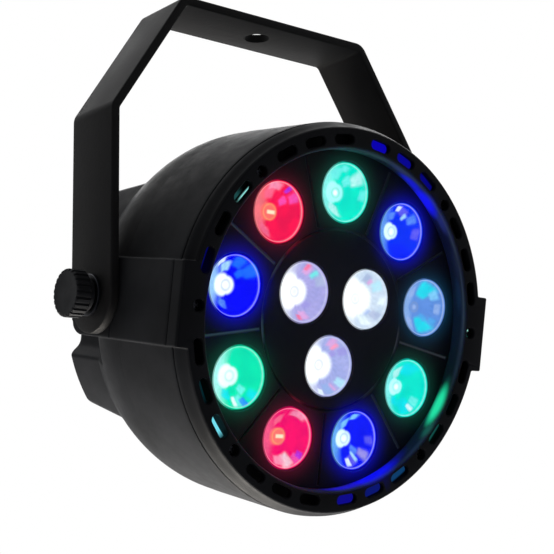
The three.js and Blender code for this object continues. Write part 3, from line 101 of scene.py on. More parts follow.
# %% Faces of a grid
def signed_volume(points, quads):
    """Sum over all triangles of a . (b x c) / 6, which is positive when the faces point outwards."""
    a, b, c, d = (points[quads[:, i]] for i in range(4))
    halves = np.einsum("ij,ij->i", a, np.cross(b, c)) + np.einsum("ij,ij->i", a, np.cross(c, d))
    return halves.sum() / 6


def quads_of(shape, wrap_rows):
    """Corner numbers of a grid's quads. Columns always wrap round, and rows wrap only for a ring."""
    index = np.arange(shape[0] * shape[1]).reshape(shape)
    index = np.concatenate([index, index[:, :1]], 1)
    if wrap_rows:
        index = np.concatenate([index, index[:1]], 0)
    corners = [index[:-1, :-1], index[:-1, 1:], index[1:, 1:], index[1:, :-1]]
    return np.stack(corners, -1).reshape(-1, 4)


print("faces of a grid of 4 rows and 6 columns:", len(quads_of((4, 6), False)))


# %% Grids to one mesh object
MERGE_BELOW, EMPTY_BELOW = 2e-6, 1e-7  # in metres


def shade(mesh, smooth_degrees):
    """Shades smooth all but the edges that turn by more than the angle."""
    mesh.polygons.foreach_set("use_smooth", np.ones(len(mesh.polygons), bool))
    mesh.set_sharp_from_angle(angle=math.radians(smooth_degrees))
    mesh.update()


def tidy(mesh):
    """Merges points that lie closer than 2 micrometres, which closes the poles, and drops empty faces."""
    work = bmesh.new()
    work.from_mesh(mesh)
    bmesh.ops.remove_doubles(work, verts=work.verts, dist=MERGE_BELOW)
    bmesh.ops.dissolve_degenerate(work, edges=work.edges, dist=EMPTY_BELOW)
    work.to_mesh(mesh)
    work.free()


def build(name, grids, place=head_place, rings=False, smooth_degrees=32):
    """Joins closed grids of shape (rows, columns, 3), in mm, into one mesh object in metres."""
    points, quads, start = [], [], 0
    for grid in grids:
        grid = np.asarray(grid, float)
        placed = place(grid.reshape(-1, 3)) * MM
        faces = quads_of(grid.shape[:2], rings)
        if signed_volume(placed - placed.mean(0), faces) < 0:
            faces = faces[:, ::-1]
        points.append(placed)
        quads.append(faces + start)
        start += len(placed)
    mesh = bpy.data.meshes.new(name)
    mesh.from_pydata(np.concatenate(points).tolist(), [], np.concatenate(quads).tolist())
    tidy(mesh)
    shade(mesh, smooth_degrees)
    made = bpy.data.objects.new(name, mesh)
    bpy.context.scene.collection.objects.link(made)
    return made


print("points merge below, mm:", MERGE_BELOW / MM)


# %% Profiles carried round an axis
def capped(rows):
    """Adds the middle of the first and of the last row as a point, which closes both ends."""
    rows = np.asarray(rows, float)
    first = np.broadcast_to(rows[0].mean(0), rows[0].shape)
    last = np.broadcast_to(rows[-1].mean(0), rows[-1].shape)
    return np.concatenate([first[None], rows, last[None]])


def turned_y(profile, columns=48, x=0.0, z=0.0):
    """A profile of (radius, y) pairs carried round the Y axis: (r cos t + x, y, r sin t + z)."""
    radius, y = np.asarray(profile, float).T
    angle = np.arange(columns) * 2 * np.pi / columns
    height = np.broadcast_to(y[:, None], (len(radius), columns))
    return np.stack([np.outer(radius, np.cos(angle)) + x, height, np.outer(radius, np.sin(angle)) + z], -1)


def turned_x(profile, columns=48):
    """The same round the X axis, for (radius, x) pairs: the first two coordinates change places."""
    return turned_y(profile, columns)[..., [1, 0, 2]]


print("a turned grid has rows, columns, coordinates:", turned_y([(1, 0), (1, 1)]).shape)


# %% Outlines carried along Y
def extruded(outline, ys, offsets=None):
    """A closed outline of (x, z) points, given again at each y, moved there by an offset along its normals."""
    outline = np.asarray(outline, float)
    offsets = np.zeros(len(ys)) if offsets is None else np.asarray(offsets, float)
    before, after = np.roll(outline, 1, 0), np.roll(outline, -1, 0)
    along = after - before
    normal = np.stack([along[:, 1], -along[:, 0]], -1)
    normal /= np.linalg.norm(normal, axis=1, keepdims=True)
    area = (outline[:, 0] * after[:, 1] - after[:, 0] * outline[:, 1]).sum()
    flat = outline[None] + offsets[:, None, None] * (normal * np.sign(area))[None]
    height = np.broadcast_to(np.asarray(ys, float)[:, None], flat.shape[:2])
    return capped(np.stack([flat[..., 0], height, flat[..., 1]], -1))


def rounded_outline(half_x, half_z, radius, x=0.0, z=0.0, steps=6):
    """A rectangle with a quarter circle about each corner's centre, once round against the clock."""
    corners = []
    for k, (sx, sz) in enumerate([(1, 1), (-1, 1), (-1, -1), (1, -1)]):
        turn = np.linspace(0, np.pi / 2, steps + 1) + k * np.pi / 2
        centre = [x + sx * (half_x - radius), z + sz * (half_z - radius)]
        corners.append(centre + radius * np.stack([np.cos(turn), np.sin(turn)], -1))
    return np.concatenate(corners)


print("points of a rounded outline:", len(rounded_outline(2, 1, 0.5)))

# %% [markdown]
# ## Colours and nodes
# Colours are written as they look on a screen, in hex, and one function turns them into the linear
# numbers that a renderer adds up. One more function adds a node, sets it and links it in one line, so a
# material reads from top to bottom like a recipe. Patterns run on object coordinates in millimetres.

# %% Colours
def linear(code):
    """Undoes the screen's curve: c / 12.92 below 0.04045, else ((c + 0.055) / 1.055) ^ 2.4."""
    code = code.lstrip("#")
    share = np.array([int(code[i : i + 2], 16) / 255 for i in (0, 2, 4)])
    return np.where(share <= 0.04045, share / 12.92, ((share + 0.055) / 1.055) ** 2.4)


def colour(code):
    """The same three numbers and a full opacity, as a socket takes them."""
    return (*linear(code).tolist(), 1.0)


print("half grey on a screen is", round(float(linear("#808080")[0]), 3), "in linear light")


# %% One node at a time
def add(tree, kind, inputs=(), **settings):
    """Adds one shader node. An input is a plain value, or a node or socket whose output is linked to it."""
    made = tree.nodes.new("ShaderNode" + kind)
    for key, value in settings.items():
        setattr(made, key, value)
    for socket, value in dict(inputs).items():
        if isinstance(value, bpy.types.Node):
            value = value.outputs[0]
        if isinstance(value, bpy.types.NodeSocket):
            tree.links.new(value, made.inputs[socket])
        else:
            made.inputs[socket].default_value = value
    return made


def start_material(name):
    """A material with an empty tree, and object coordinates in millimetres as its first value."""
    material = bpy.data.materials.new(name)
    material.use_nodes = True
    tree = material.node_tree
    tree.nodes.clear()
    place = add(tree, "TexCoord").outputs["Object"]
    return material, tree, add(tree, "Mapping", {"Vector": place, "Scale": [1 / MM] * 3})


MIDDLE = {"From Min": 0.3, "From Max": 0.7}  # the range where most of a noise's values lie
print("noise is read from", MIDDLE["From Min"], "to", MIDDLE["From Max"])

# %% [markdown]
# ## Light beside a lens
# A lit lens throws a little of its own colour on the plastic about it. A lamp for each lens would draw a
# wide soft pool, but a real halo hugs the lens. So the plastic works out how far it lies from the nearest
# lens, and gives off that lens's colour, which fades with the distance.

# %% Halos of the outer lenses
HALO_COLOURS = ["#062c22", "#3a0514", "#03038c", "#053426", "#40061a"]
HALO_COLOURS += ["#03038c", "#053026", "#04283c", "#03038c"]
LENS_CIRCLE, LENS_RADIUS, HALO_RADIUS = 48.1, 11.5, 21.0
SECTORS = len(HALO_COLOURS)


def lens_halo(tree, mm):
    """The angle is folded into the sector of the nearest lens on a circle of radius c. Its distance is
    sqrt(r^2 + c^2 - 2 r c cos t), and the light falls to nothing with the third power of the way out."""
    upright = {"Vector": mm, "Rotation": [-TILT, 0, 0]}
    upright["Location"] = [0, AXIS_DROP * math.sin(TILT), AXIS_DROP * math.cos(TILT)]
    x, _, z = add(tree, "SeparateXYZ", {0: add(tree, "Mapping", upright)}).outputs
    found = {"x": x, "z": z}
    steps = [
        ("angle", "ARCTAN2", "z", "x"),
        ("sector", "MULTIPLY_ADD", "angle", SECTORS / (2 * math.pi), 2 * SECTORS - SECTORS / 4),
        ("nearest", "ROUND", "sector"),
        ("off", "SUBTRACT", "sector", "nearest"),
        ("off", "MULTIPLY", "off", 2 * math.pi / SECTORS),
        ("cosine", "COSINE", "off"),
        ("squared", "MULTIPLY", "x", "x"),
        ("squared", "MULTIPLY_ADD", "z", "z", "squared"),
        ("radius", "SQRT", "squared"),
        ("across", "MULTIPLY", "radius", "cosine"),
        ("distance", "MULTIPLY_ADD", "across", -2 * LENS_CIRCLE, "squared"),
        ("distance", "ADD", "distance", LENS_CIRCLE**2),
        ("distance", "SQRT", "distance"),
        ("number", "MODULO", "nearest", SECTORS),
        ("share", "MULTIPLY_ADD", "number", 1 / SECTORS, 0.5 / SECTORS),
    ]
    for name, operation, *values in steps:
        linked = {index: found.get(value, value) for index, value in enumerate(values)}
        found[name] = add(tree, "Math", linked, operation=operation)
    limits = {"From Min": LENS_RADIUS, "From Max": HALO_RADIUS, "To Min": 1.0, "To Max": 0.0}
    near = add(tree, "MapRange", {"Value": found["distance"], **limits})
    near = add(tree, "Math", {0: near, 1: 3.0}, operation="POWER")
    lookup = add(tree, "ValToRGB", {0: found["share"]})
    ramp = lookup.color_ramp
    ramp.interpolation = "CONSTANT"
    while len(ramp.elements) < SECTORS:
        ramp.elements.new(1.0)
    for index, code in enumerate(HALO_COLOURS):
        ramp.elements[index].position = index / SECTORS
        ramp.elements[index].color = colour(code)
    return add(tree, "Mix", {0: near, 6: (0, 0, 0, 1), 7: lookup}, data_type="RGBA").outputs[2]


print("halo colours:", SECTORS, "reach beyond a lens, mm:", HALO_RADIUS - LENS_RADIUS)

# %% [markdown]
# ## Moulded plastics
# The head, ring and knobs are injection moulded in black ABS. A spark-eroded mould leaves a fine grain,
# the gloss drifts a little across a face, and handling rubs small paler patches. One recipe makes them
# all, with a broad noise for colour, a middle one for gloss and a fine one for the grain.

# %% Plastic
PATCH_WIDTH, GLOSS_WIDTH = 24, 5  # mm, of the noises for colour and gloss


def plastic(name, dark, light, gloss=(0.42, 0.56), grain=0.35, depth=0.012, specular=0.1, glow=False, halo=0.0):
    """Noise of 24 mm drifts from dark to light, one of 5 mm moves the gloss, and the grain is also relief."""
    material, tree, mm = start_material(name)
    broad = add(tree, "TexNoise", {"Vector": mm, "Scale": 1 / PATCH_WIDTH, "Detail": 3})
    middle = add(tree, "TexNoise", {"Vector": mm, "Scale": 1 / GLOSS_WIDTH, "Detail": 3, "Roughness": 0.6})
    fine = add(tree, "TexNoise", {"Vector": mm, "Scale": 1 / grain, "Detail": 2})
    drift = add(tree, "MapRange", {"Value": broad, **MIDDLE})
    tone = add(tree, "Mix", {0: drift, 6: colour(dark), 7: colour(light)}, data_type="RGBA").outputs[2]
    crests = add(tree, "MapRange", {"Value": fine, "From Min": 0.45, "From Max": 0.75, "To Max": 0.35})
    tone = add(tree, "Mix", {0: crests, 6: tone, 7: colour(light)}, data_type="RGBA").outputs[2]
    inputs = {
        "Base Color": tone,
        "Roughness": add(tree, "MapRange", {"Value": middle, **MIDDLE, "To Min": gloss[0], "To Max": gloss[1]}),
        "Normal": add(tree, "Bump", {"Distance": depth * MM, "Height": fine}),
        "Specular IOR Level": specular,
    }
    if glow:
        stray = add(tree, "Attribute", attribute_name="glow").outputs["Color"]
        if halo:
            beside = {0: halo, 6: stray, 7: lens_halo(tree, mm)}
            stray = add(tree, "Mix", beside, data_type="RGBA", blend_type="ADD").outputs[2]
        inputs.update({"Emission Color": stray, "Emission Strength": 1.0})
    add(tree, "OutputMaterial", {"Surface": add(tree, "BsdfPrincipled", inputs)})
    return material


print("noises in plastic, mm:", PATCH_WIDTH, GLOSS_WIDTH, "and the grain of each mould")

# %% Nine plastics and rubbers
MATERIALS = {
    # Moulded black ABS, satin: a soft grey sheen over near black, which the lamp below brings out.
    "shell_plastic": plastic("black_abs_shell", "#17181a", "#232427", (0.42, 0.54), specular=0.025, glow=True),
    # A darker copy of the same ABS: painted shade for the dimly lit front, with the lenses' light painted on its
    # wall.
    "rim_plastic": plastic(
        "black_abs_ring_painted_shade", "#0a0b0e", "#121317", (0.36, 0.5), 0.3, 0.01, specular=0.03, glow=True, halo=0.35
    ),
    # A darker copy of the same ABS as painted shade, as the plate lies in the ring's shadow, with painted halos
    # about the lenses.
    "plate_plastic": plastic(
        "black_abs_plate_painted_shade", "#0b0c10", "#13141a", (0.4, 0.55), 0.3, 0.01, specular=0.025, glow=True, halo=1.0
    ),
    # Glass filled nylon: duller, with a coarser grain that a hand has worn pale.
    "knob_plastic": plastic("charcoal_nylon", "#161719", "#202124", (0.45, 0.6), 0.4, 0.015, 0.05),
    # PBT of sockets: hard, smooth and a little glossier.
    "socket_plastic": plastic("black_pbt", "#0f0f11", "#1a1a1c", (0.35, 0.5), 0.3, 0.01),
    # Silicone rubber: no shine, and dust on it looks grey.
    "rubber": plastic("black_silicone", "#131315", "#1e1e20", (0.7, 0.85), 0.25, 0.012, 0.25),
    # Shrink sleeve, lead insulation and winding tape: thin coloured films with a low shine.
    "sleeve": plastic("blue_shrink_sleeve", "#1c3560", "#2b4c80", (0.3, 0.45), 1.2, 0.01),
    "cable": plastic("red_silicone_lead", "#7f1818", "#a32424", (0.5, 0.65), 0.6, 0.01),
    "winding": plastic("yellow_winding_tape", "#b08d2a", "#d0ab42", (0.4, 0.55), 0.9, 0.03),
}
print("plastics:", len(MATERIALS))

# %% [markdown]
# ## Powder coat
# The bracket and the panel are steel under baked polyester powder. The powder flows into a low orange
# peel of 1 to 2 mm, with a fine sparkle of lighter grains, and stays matt. A noise gives the peel, and
# cells of half a millimetre give the grains.

# %% Powder coat
def powder_coat(name, dark, light):
    """Peel and grains are two reliefs, one on the other. The grains' middles are up to 0.6 lighter."""
    material, tree, mm = start_material(name)
    peel = add(tree, "TexNoise", {"Vector": mm, "Scale": 1 / 1.3, "Detail": 2})
    grains = add(tree, "TexVoronoi", {"Vector": mm, "Scale": 1 / 0.5})
    broad = add(tree, "TexNoise", {"Vector": mm, "Scale": 1 / 30, "Detail": 3})
    drift = add(tree, "MapRange", {"Value": broad, **MIDDLE})
    tone = add(tree, "Mix", {0: drift, 6: colour(dark), 7: colour(light)}, data_type="RGBA").outputs[2]
    sparkle = {"Value": grains, "From Min": 0.0, "From Max": 0.35, "To Min": 0.6, "To Max": 0}
    sparkle = add(tree, "MapRange", sparkle)
    tone = add(tree, "Mix", {0: sparkle, 6: tone, 7: colour(light)}, data_type="RGBA").outputs[2]
    flowed = add(tree, "Bump", {"Distance": 0.05 * MM, "Height": peel})
    inputs = {
        "Base Color": tone,
        "Roughness": add(tree, "MapRange", {"Value": broad, **MIDDLE, "To Min": 0.46, "To Max": 0.6}),
        "Normal": add(tree, "Bump", {"Distance": 0.01 * MM, "Height": grains, "Normal": flowed}),
        "Specular IOR Level": 0.03,
    }
    add(tree, "OutputMaterial", {"Surface": add(tree, "BsdfPrincipled", inputs)})
    return material


MATERIALS["powder_coat"] = powder_coat("charcoal_powder_coat", "#1c1c1d", "#282829")
print("coat:", MATERIALS["powder_coat"].name)

# %% [markdown]
# ## Metals
# Screws and washers are zinc plated or blackened steel, pins are nickel plated, inserts and studs are
# turned brass and steel, and the heat sink is extruded. All show fine marks of the tool that shaped them,
# which is one noise used for gloss and height alike, stretched where the tool ran straight.

# %% Metals
def metal(name, dark, light, gloss=(0.25, 0.42), stretch=(1, 1, 1), glow=False):
    """Marks of 0.8 mm in gloss and height, on a colour that drifts over 9 mm."""
    material, tree, mm = start_material(name)
    drawn_out = add(tree, "Mapping", {"Vector": mm, "Scale": stretch})
    marks = add(tree, "TexNoise", {"Vector": drawn_out, "Scale": 1 / 0.8, "Detail": 3, "Roughness": 0.6})
    broad = add(tree, "TexNoise", {"Vector": mm, "Scale": 1 / 9, "Detail": 2})
    drift = add(tree, "MapRange", {"Value": broad, **MIDDLE})
    tone = add(tree, "Mix", {0: drift, 6: colour(dark), 7: colour(light)}, data_type="RGBA").outputs[2]
    inputs = {
        "Base Color": tone,
        "Roughness": add(tree, "MapRange", {"Value": marks, **MIDDLE, "To Min": gloss[0], "To Max": gloss[1]}),
        "Normal": add(tree, "Bump", {"Distance": 0.006 * MM, "Height": marks}),
        "Metallic": 1.0,
    }
    if glow:
        stray = add(tree, "Attribute", attribute_name="glow").outputs["Color"]
        inputs.update({"Emission Color": stray, "Emission Strength": 1.0})
    add(tree, "OutputMaterial", {"Surface": add(tree, "BsdfPrincipled", inputs)})
    return material


MATERIALS.update(
    {
        # Zinc plate is a cool light grey with a soft shine.
        "steel": metal("zinc_plated_steel", "#7f8488", "#a6aaad"),
        # Blackened steel swallows most light and keeps a dull edge.
        "black_steel": metal("blackened_steel", "#15161a", "#26282d", (0.3, 0.45), glow=True),
        # Turned brass is warm and shows its rings.
        "brass": metal("turned_brass", "#9c7a3a", "#c09a54"),
        # An extrusion has long drawn lines.
        "aluminium": metal("extruded_aluminium", "#9a9da1", "#bfc2c5", (0.35, 0.5), (1, 1, 0.05)),
        # Nickel over brass is slightly yellow and the smoothest of them.
        "pin_metal": metal("nickel_plated_brass", "#a8a493", "#cfcab6", (0.2, 0.35)),
    }
)
print("finishes with the metals:", len(MATERIALS))

# %% [markdown]
# ## Circuit boards
# A board is glass cloth in resin with copper on it, under lacquer. What the eye gets is a weave of under a
# millimetre and lighter blotches where copper lies below. A checker and large square cells give both.

# %% Boards
def board(name, dark, light, copper):
    """Copper shows where a cell's distance is below 0.25 to 0.32. The weave adds a quarter of the light
    tone."""
    material, tree, mm = start_material(name)
    weave = add(tree, "TexChecker", {"Vector": mm, "Scale": 1.2}).outputs[1]
    areas = add(tree, "TexVoronoi", {"Vector": mm, "Scale": 1 / 7}, distance="CHEBYCHEV")
    below = {"Value": areas, "From Min": 0.25, "From Max": 0.32, "To Min": 1, "To Max": 0}
    below = add(tree, "MapRange", below)
    tone = add(tree, "Mix", {0: below, 6: colour(dark), 7: colour(copper)}, data_type="RGBA").outputs[2]
    threads = add(tree, "MapRange", {"Value": weave, "To Max": 0.25})
    inputs = {
        "Base Color": add(tree, "Mix", {0: threads, 6: tone, 7: colour(light)}, data_type="RGBA").outputs[2],
        "Roughness": add(tree, "MapRange", {"Value": areas, **MIDDLE, "To Min": 0.3, "To Max": 0.45}),
        "Normal": add(tree, "Bump", {"Distance": 0.01 * MM, "Height": weave}),
    }
    add(tree, "OutputMaterial", {"Surface": add(tree, "BsdfPrincipled", inputs)})
    return material


# White lacquer over an aluminium core throws the light forward. Green lacquer is over glass cloth.
MATERIALS["board_white"] = board("white_aluminium_board", "#d8dad8", "#eceeec", "#c9ccc9")
MATERIALS["board_green"] = board("green_glass_board", "#174a2c", "#236740", "#2b7a4a")
print("finishes with the boards:", len(MATERIALS))

# %% [markdown]
# ## Clear acrylic
# Each lens ends in a polished acrylic face. It could be traced as thick glass, but a thin clear face that
# lets light through and mirrors by the Fresnel law looks the same from outside and stays free of noise.

# %% Clear face
def clear_face(name, tint, gloss):
    """Mirrors a share 0.004 + 0.096 (1 - cos)^5, a tenth of a bare face's, as the lit dish outshines it."""
    material, tree, mm = start_material(name)
    specks = add(tree, "TexNoise", {"Vector": mm, "Scale": 1 / 0.6, "Detail": 3, "Roughness": 0.7})
    dust = {"Value": specks, "From Min": 0.55, "From Max": 0.8, "To Min": gloss, "To Max": gloss + 0.25}
    broad = add(tree, "MapRange", {"Value": add(tree, "TexNoise", {"Vector": mm, "Scale": 1 / 6}), **MIDDLE})
    through = add(tree, "Mix", {0: broad, 6: colour(tint), 7: colour("#ffffff")}, data_type="RGBA").outputs[2]
    clear = add(tree, "BsdfTransparent", {"Color": through})
    mirror = add(tree, "BsdfGlossy", {"Roughness": add(tree, "MapRange", dust)})
    tilt = add(tree, "LayerWeight", {"Blend": 0.5}).outputs["Facing"]
    power = add(tree, "Math", {0: tilt, 1: 5.0}, operation="POWER")
    share = add(tree, "MapRange", {"Value": power, "To Min": 0.004, "To Max": 0.1})
    mixed = add(tree, "MixShader", {0: share, 1: clear, 2: mirror})
    add(tree, "OutputMaterial", {"Surface": mixed})
    return material


MATERIALS["acrylic"] = clear_face("clear_acrylic", "#f4f8fb", 0.03)
print("clear:", MATERIALS["acrylic"].name)

# %% [markdown]
# ## Display
# A dark red tinted pane covers four digits, which are unlit: grey with dark rows where the segments are.
# The pane is so dark that a plain glossy dark red shows what the eye sees.

# %% Tinted pane and unlit digits
def tinted_window(name):
    """Smooth, with fine rub marks that are six times as wide as they are high."""
    material, tree, mm = start_material(name)
    across = add(tree, "Mapping", {"Vector": mm, "Scale": (1, 1, 6)})
    rubs = add(tree, "TexNoise", {"Vector": across, "Scale": 1 / 1.5, "Detail": 4, "Roughness": 0.7})
    drift = add(tree, "MapRange", {"Value": rubs, **MIDDLE})
    worn = {"Value": rubs, "From Min": 0.45, "From Max": 0.8, "To Min": 0.04, "To Max": 0.16}
    tones = {0: drift, 6: colour("#1c0507"), 7: colour("#2b090c")}
    inputs = {"Base Color": add(tree, "Mix", tones, data_type="RGBA").outputs[2]}
    inputs["Roughness"] = add(tree, "MapRange", worn)
    add(tree, "OutputMaterial", {"Surface": add(tree, "BsdfPrincipled", inputs)})
    return material


def unlit_digits(name):
    """Dark rows 3 mm apart, as a wave of that length."""
    material, tree, mm = start_material(name)
    rows = add(tree, "TexWave", {"Vector": mm, "Scale": 0.33, "Distortion": 0.0}).outputs[1]
    tones = {0: rows, 6: colour("#19191b"), 7: colour("#2a2a2d")}
    inputs = {"Base Color": add(tree, "Mix", tones, data_type="RGBA").outputs[2]}
    inputs["Roughness"] = add(tree, "MapRange", {"Value": rows, "To Min": 0.3, "To Max": 0.45})
    add(tree, "OutputMaterial", {"Surface": add(tree, "BsdfPrincipled", inputs)})
    return material


MATERIALS["window"] = tinted_window("red_tinted_acrylic")
MATERIALS["display"] = unlit_digits("display_face")
print("materials:", len(MATERIALS))

# %% [markdown]
# ## Stage
# The floor and the air behind are plain and pale. They look white by what a camera ray, a mirror ray or a
# ray through glass is told there, not by more light on the lamp. The floor lies half a metre below the
# hanging light and keeps its faint shadow.

# %% White for eyes only
def white_for_eyes(tree):
    """1 for camera, mirror and transmission rays and 0 for the rays that only carry light."""
    path = add(tree, "LightPath").outputs
    first = add(tree, "Math", {0: path["Is Camera Ray"], 1: path["Is Glossy Ray"]}, operation="MAXIMUM")
    return add(tree, "Math", {0: first, 1: path["Is Transmission Ray"]}, operation="MAXIMUM")


AIR_FILL = 0.05
world = bpy.data.worlds.new("studio_air")
bpy.context.scene.world = world
world.use_nodes = True
tree = world.node_tree
tree.nodes.clear()
seen = add(tree, "Background", {"Color": (1, 1, 1, 1), "Strength": 1.0})
fill = add(tree, "Background", {"Color": colour("#e8ebf0"), "Strength": AIR_FILL})
add(tree, "OutputWorld", {"Surface": add(tree, "MixShader", {0: white_for_eyes(tree), 1: fill, 2: seen})})
print("air lights with", AIR_FILL, "and looks white")

# %% Floor
FLOOR_Z, FLOOR_REACH, FLOOR_WHITE = -0.5, 6.0, 0.97
floor_material, tree, mm = start_material("pale_floor")
mottle = add(tree, "TexNoise", {"Vector": mm, "Scale": 1 / 60, "Detail": 3})
mottle = add(tree, "MapRange", {"Value": mottle, **MIDDLE})
tone = add(tree, "Mix", {0: mottle, 6: colour("#f2f2f2"), 7: colour("#fbfbfb")}, data_type="RGBA").outputs[2]
matt = add(tree, "BsdfDiffuse", {"Color": tone})
white = add(tree, "Emission", {"Color": (1, 1, 1, 1), "Strength": 1.0})
share = add(tree, "Math", {0: white_for_eyes(tree), 1: FLOOR_WHITE}, operation="MULTIPLY")
add(tree, "OutputMaterial", {"Surface": add(tree, "MixShader", {0: share, 1: matt, 2: white})})

floor_mesh = bpy.data.meshes.new("floor")
corners = [(sx * FLOOR_REACH, sy * FLOOR_REACH, FLOOR_Z) for sx, sy in ((-1, -1), (1, -1), (1, 1), (-1, 1))]
floor_mesh.from_pydata(corners, [], [(0, 1, 2, 3)])
floor_mesh.materials.append(floor_material)
floor = bpy.data.objects.new("floor", floor_mesh)
bpy.context.scene.collection.objects.link(floor)
print("floor at", FLOOR_Z, "m")

# %% [markdown]
# ## Camera
# The camera stands where the picture was taken from: about 38 degrees to the left of the light's axis and
# half a metre away, with a long lens. Its place and turn were fitted to the outlines, so they are numbers.

# %% Camera
camera_data = bpy.data.cameras.new("camera")
camera_data.lens = 88.12
camera_data.sensor_width = 36
camera = bpy.data.objects.new("camera", camera_data)
bpy.context.scene.collection.objects.link(camera)
camera.matrix_world = Matrix(
    (
        (0.776714, -0.097145, -0.622317, -0.33573),
        (-0.629708, -0.141000, -0.763929, -0.42333),
        (-0.013535, 0.985232, -0.170690, -0.19813),
        (0, 0, 0, 1),
    )
)
bpy.context.scene.camera = camera
bpy.context.scene.view_settings.view_transform = "Standard"
print("camera at", [round(v, 3) for v in camera.location])

# %% [markdown]
# ## Lamps
# All lamps are large and soft. The nearest one shines from below the head, as the grey sheen along the
# lower left of the drum says, and the rest come from behind and from high up, so that the front stays
# dark and the lenses stand out.


# %% Lamps
LAMP_AIM = (0, 0, -0.11)


def lamp(name, place, power, size, tone="#ffffff"):
    """A square soft light at a place, turned to look at the middle of the light."""
    data = bpy.data.lights.new(name, "AREA")
    data.energy = power
    data.size = size
    data.color = linear(tone)
    made = bpy.data.objects.new(name, data)
    bpy.context.scene.collection.objects.link(made)
    back = np.subtract(place, LAMP_AIM)
    back /= np.linalg.norm(back)
    side = np.cross([0, 0, 1], back)
    side /= np.linalg.norm(side)
    turn = np.eye(4)
    turn[:3] = np.stack([side, np.cross(back, side), back, place], -1)
    made.matrix_world = Matrix(turn.tolist())
    made.visible_camera = False


lamp("lamp_below", (-0.02, 0.1, -0.47), 5.2, 0.3, "#fff8ec")
lamp("lamp_left_high", (-0.25, 0.5, 0.75), 3.2, 0.6)
lamp("lamp_front", (-0.3, -1.15, 0.3), 0.5, 0.8)
lamp("lamp_behind", (0.6, 1.0, 0.3), 7.7, 0.8)
lamp("lamp_right_high", (0.9, 0.25, 0.7), 8.0, 0.8)
print("lamps:", [data.name for data in bpy.data.lights])

# %% [markdown]
# ## Finishing a piece
# A finished piece has its material, moves with its body and hides the imported solids it stands for.
# Holes are cut with a joined cutter, which is thrown away afterwards.

# %% Ride, replace and cut
def settle(piece, body, slot, *nodes, finish=None):
    """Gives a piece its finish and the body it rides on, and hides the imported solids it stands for. The finish
    is the slot's own, where no other is named."""
    piece.data.materials.append(MATERIALS[finish or slot])
    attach(piece, body)
    if nodes:
        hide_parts(*nodes)
    return piece


def cut(piece, cutters, smooth_degrees=32):
    """Takes each cutter out of the piece with an exact boolean, bakes that, and removes the cutter."""
    for cutter in cutters:
        step = piece.modifiers.new("hole", "BOOLEAN")
        step.operation = "DIFFERENCE"
        step.solver = "EXACT"
        step.object = cutter
    depsgraph = bpy.context.evaluated_depsgraph_get()
    final = bpy.data.meshes.new_from_object(piece.evaluated_get(depsgraph))
    piece.modifiers.clear()
    piece.data = final
    for cutter in cutters:
        bpy.data.objects.remove(cutter)
    shade(final, smooth_degrees)
    return piece


print("packed solids to dress:", len(frame["nodes"]))

# %% [markdown]
# ## The bent strip bracket
# The bracket is one steel strip, sheared to 28 mm with round ends, bent four times and powder coated. It
# could be an extruded outline, but a section carried along the bent line also gets the soft edges that
# the coat leaves. The half width is a function of the distance along the strip, which rounds the ends.

# %% Middle line of the strip
STRIP_THICKNESS, STRIP_HALF, BEND_MIDDLE = 3.5, 14.0, 4.25
LEG_X, FIRST_BEND, TOP_HALF = 79.1, 49.1, 47.0  # outer faces of the legs, their upper ends, ends of the top bar


def unit(vector):
    """The same direction with length 1."""
    return vector / np.linalg.norm(vector)


def bent_line(steps=10):
    """The middle line and its normals: straight runs, with an arc of radius r at each corner. With h half the
    corner's angle, an arc starts r / tan h before the corner, and its centre lies r / sin h inside it."""
    half = STRIP_THICKNESS / 2
    slant = math.atan2(FIRST_BEND, LEG_X - TOP_HALF)
    leg_corner = half * math.tan((math.pi / 2 - slant) / 2)
    top_corner = half * math.tan(slant / 2)
    leg_end, leg_top = -AXIS_DROP - STRIP_HALF, -FIRST_BEND - leg_corner
    right = [(LEG_X - half, leg_end), (LEG_X - half, leg_top), (TOP_HALF - top_corner, -half)]
    corners = np.array(right + [(-x, z) for x, z in reversed(right)])
    points, normals = [], []

    def run(start, end, count):
        along = unit(end - start)
        points.append(start + np.linspace(0, 1, count)[:, None] * (end - start))
        normals.append(np.broadcast_to([along[1], -along[0]], (count, 2)))

    end = corners[0]
    for i in range(1, 5):
        before, after = unit(corners[i - 1] - corners[i]), unit(corners[i + 1] - corners[i])
        half_angle = math.acos(float(before @ after)) / 2
        tangent = BEND_MIDDLE / math.tan(half_angle)
        centre = corners[i] + unit(before + after) * BEND_MIDDLE / math.sin(half_angle)
        run(end, corners[i] + before * tangent, 40 if i == 1 else 12)
        start_angle = math.atan2(*(corners[i] + before * tangent - centre)[::-1])
        end_angle = math.atan2(*(corners[i] + after * tangent - centre)[::-1])
        sweep = (end_angle - start_angle + math.pi) % (2 * math.pi) - math.pi
        angle = start_angle + sweep * np.linspace(0, 1, steps + 2)[1:-1]
        out = np.stack([np.cos(angle), np.sin(angle)], -1)
        points.append(centre + BEND_MIDDLE * out)
        normals.append(out)
        end = corners[i] + after * tangent
    run(end, corners[5], 40)
    return np.concatenate(points), np.concatenate(normals)


print("points along the strip:", len(bent_line()[0]))


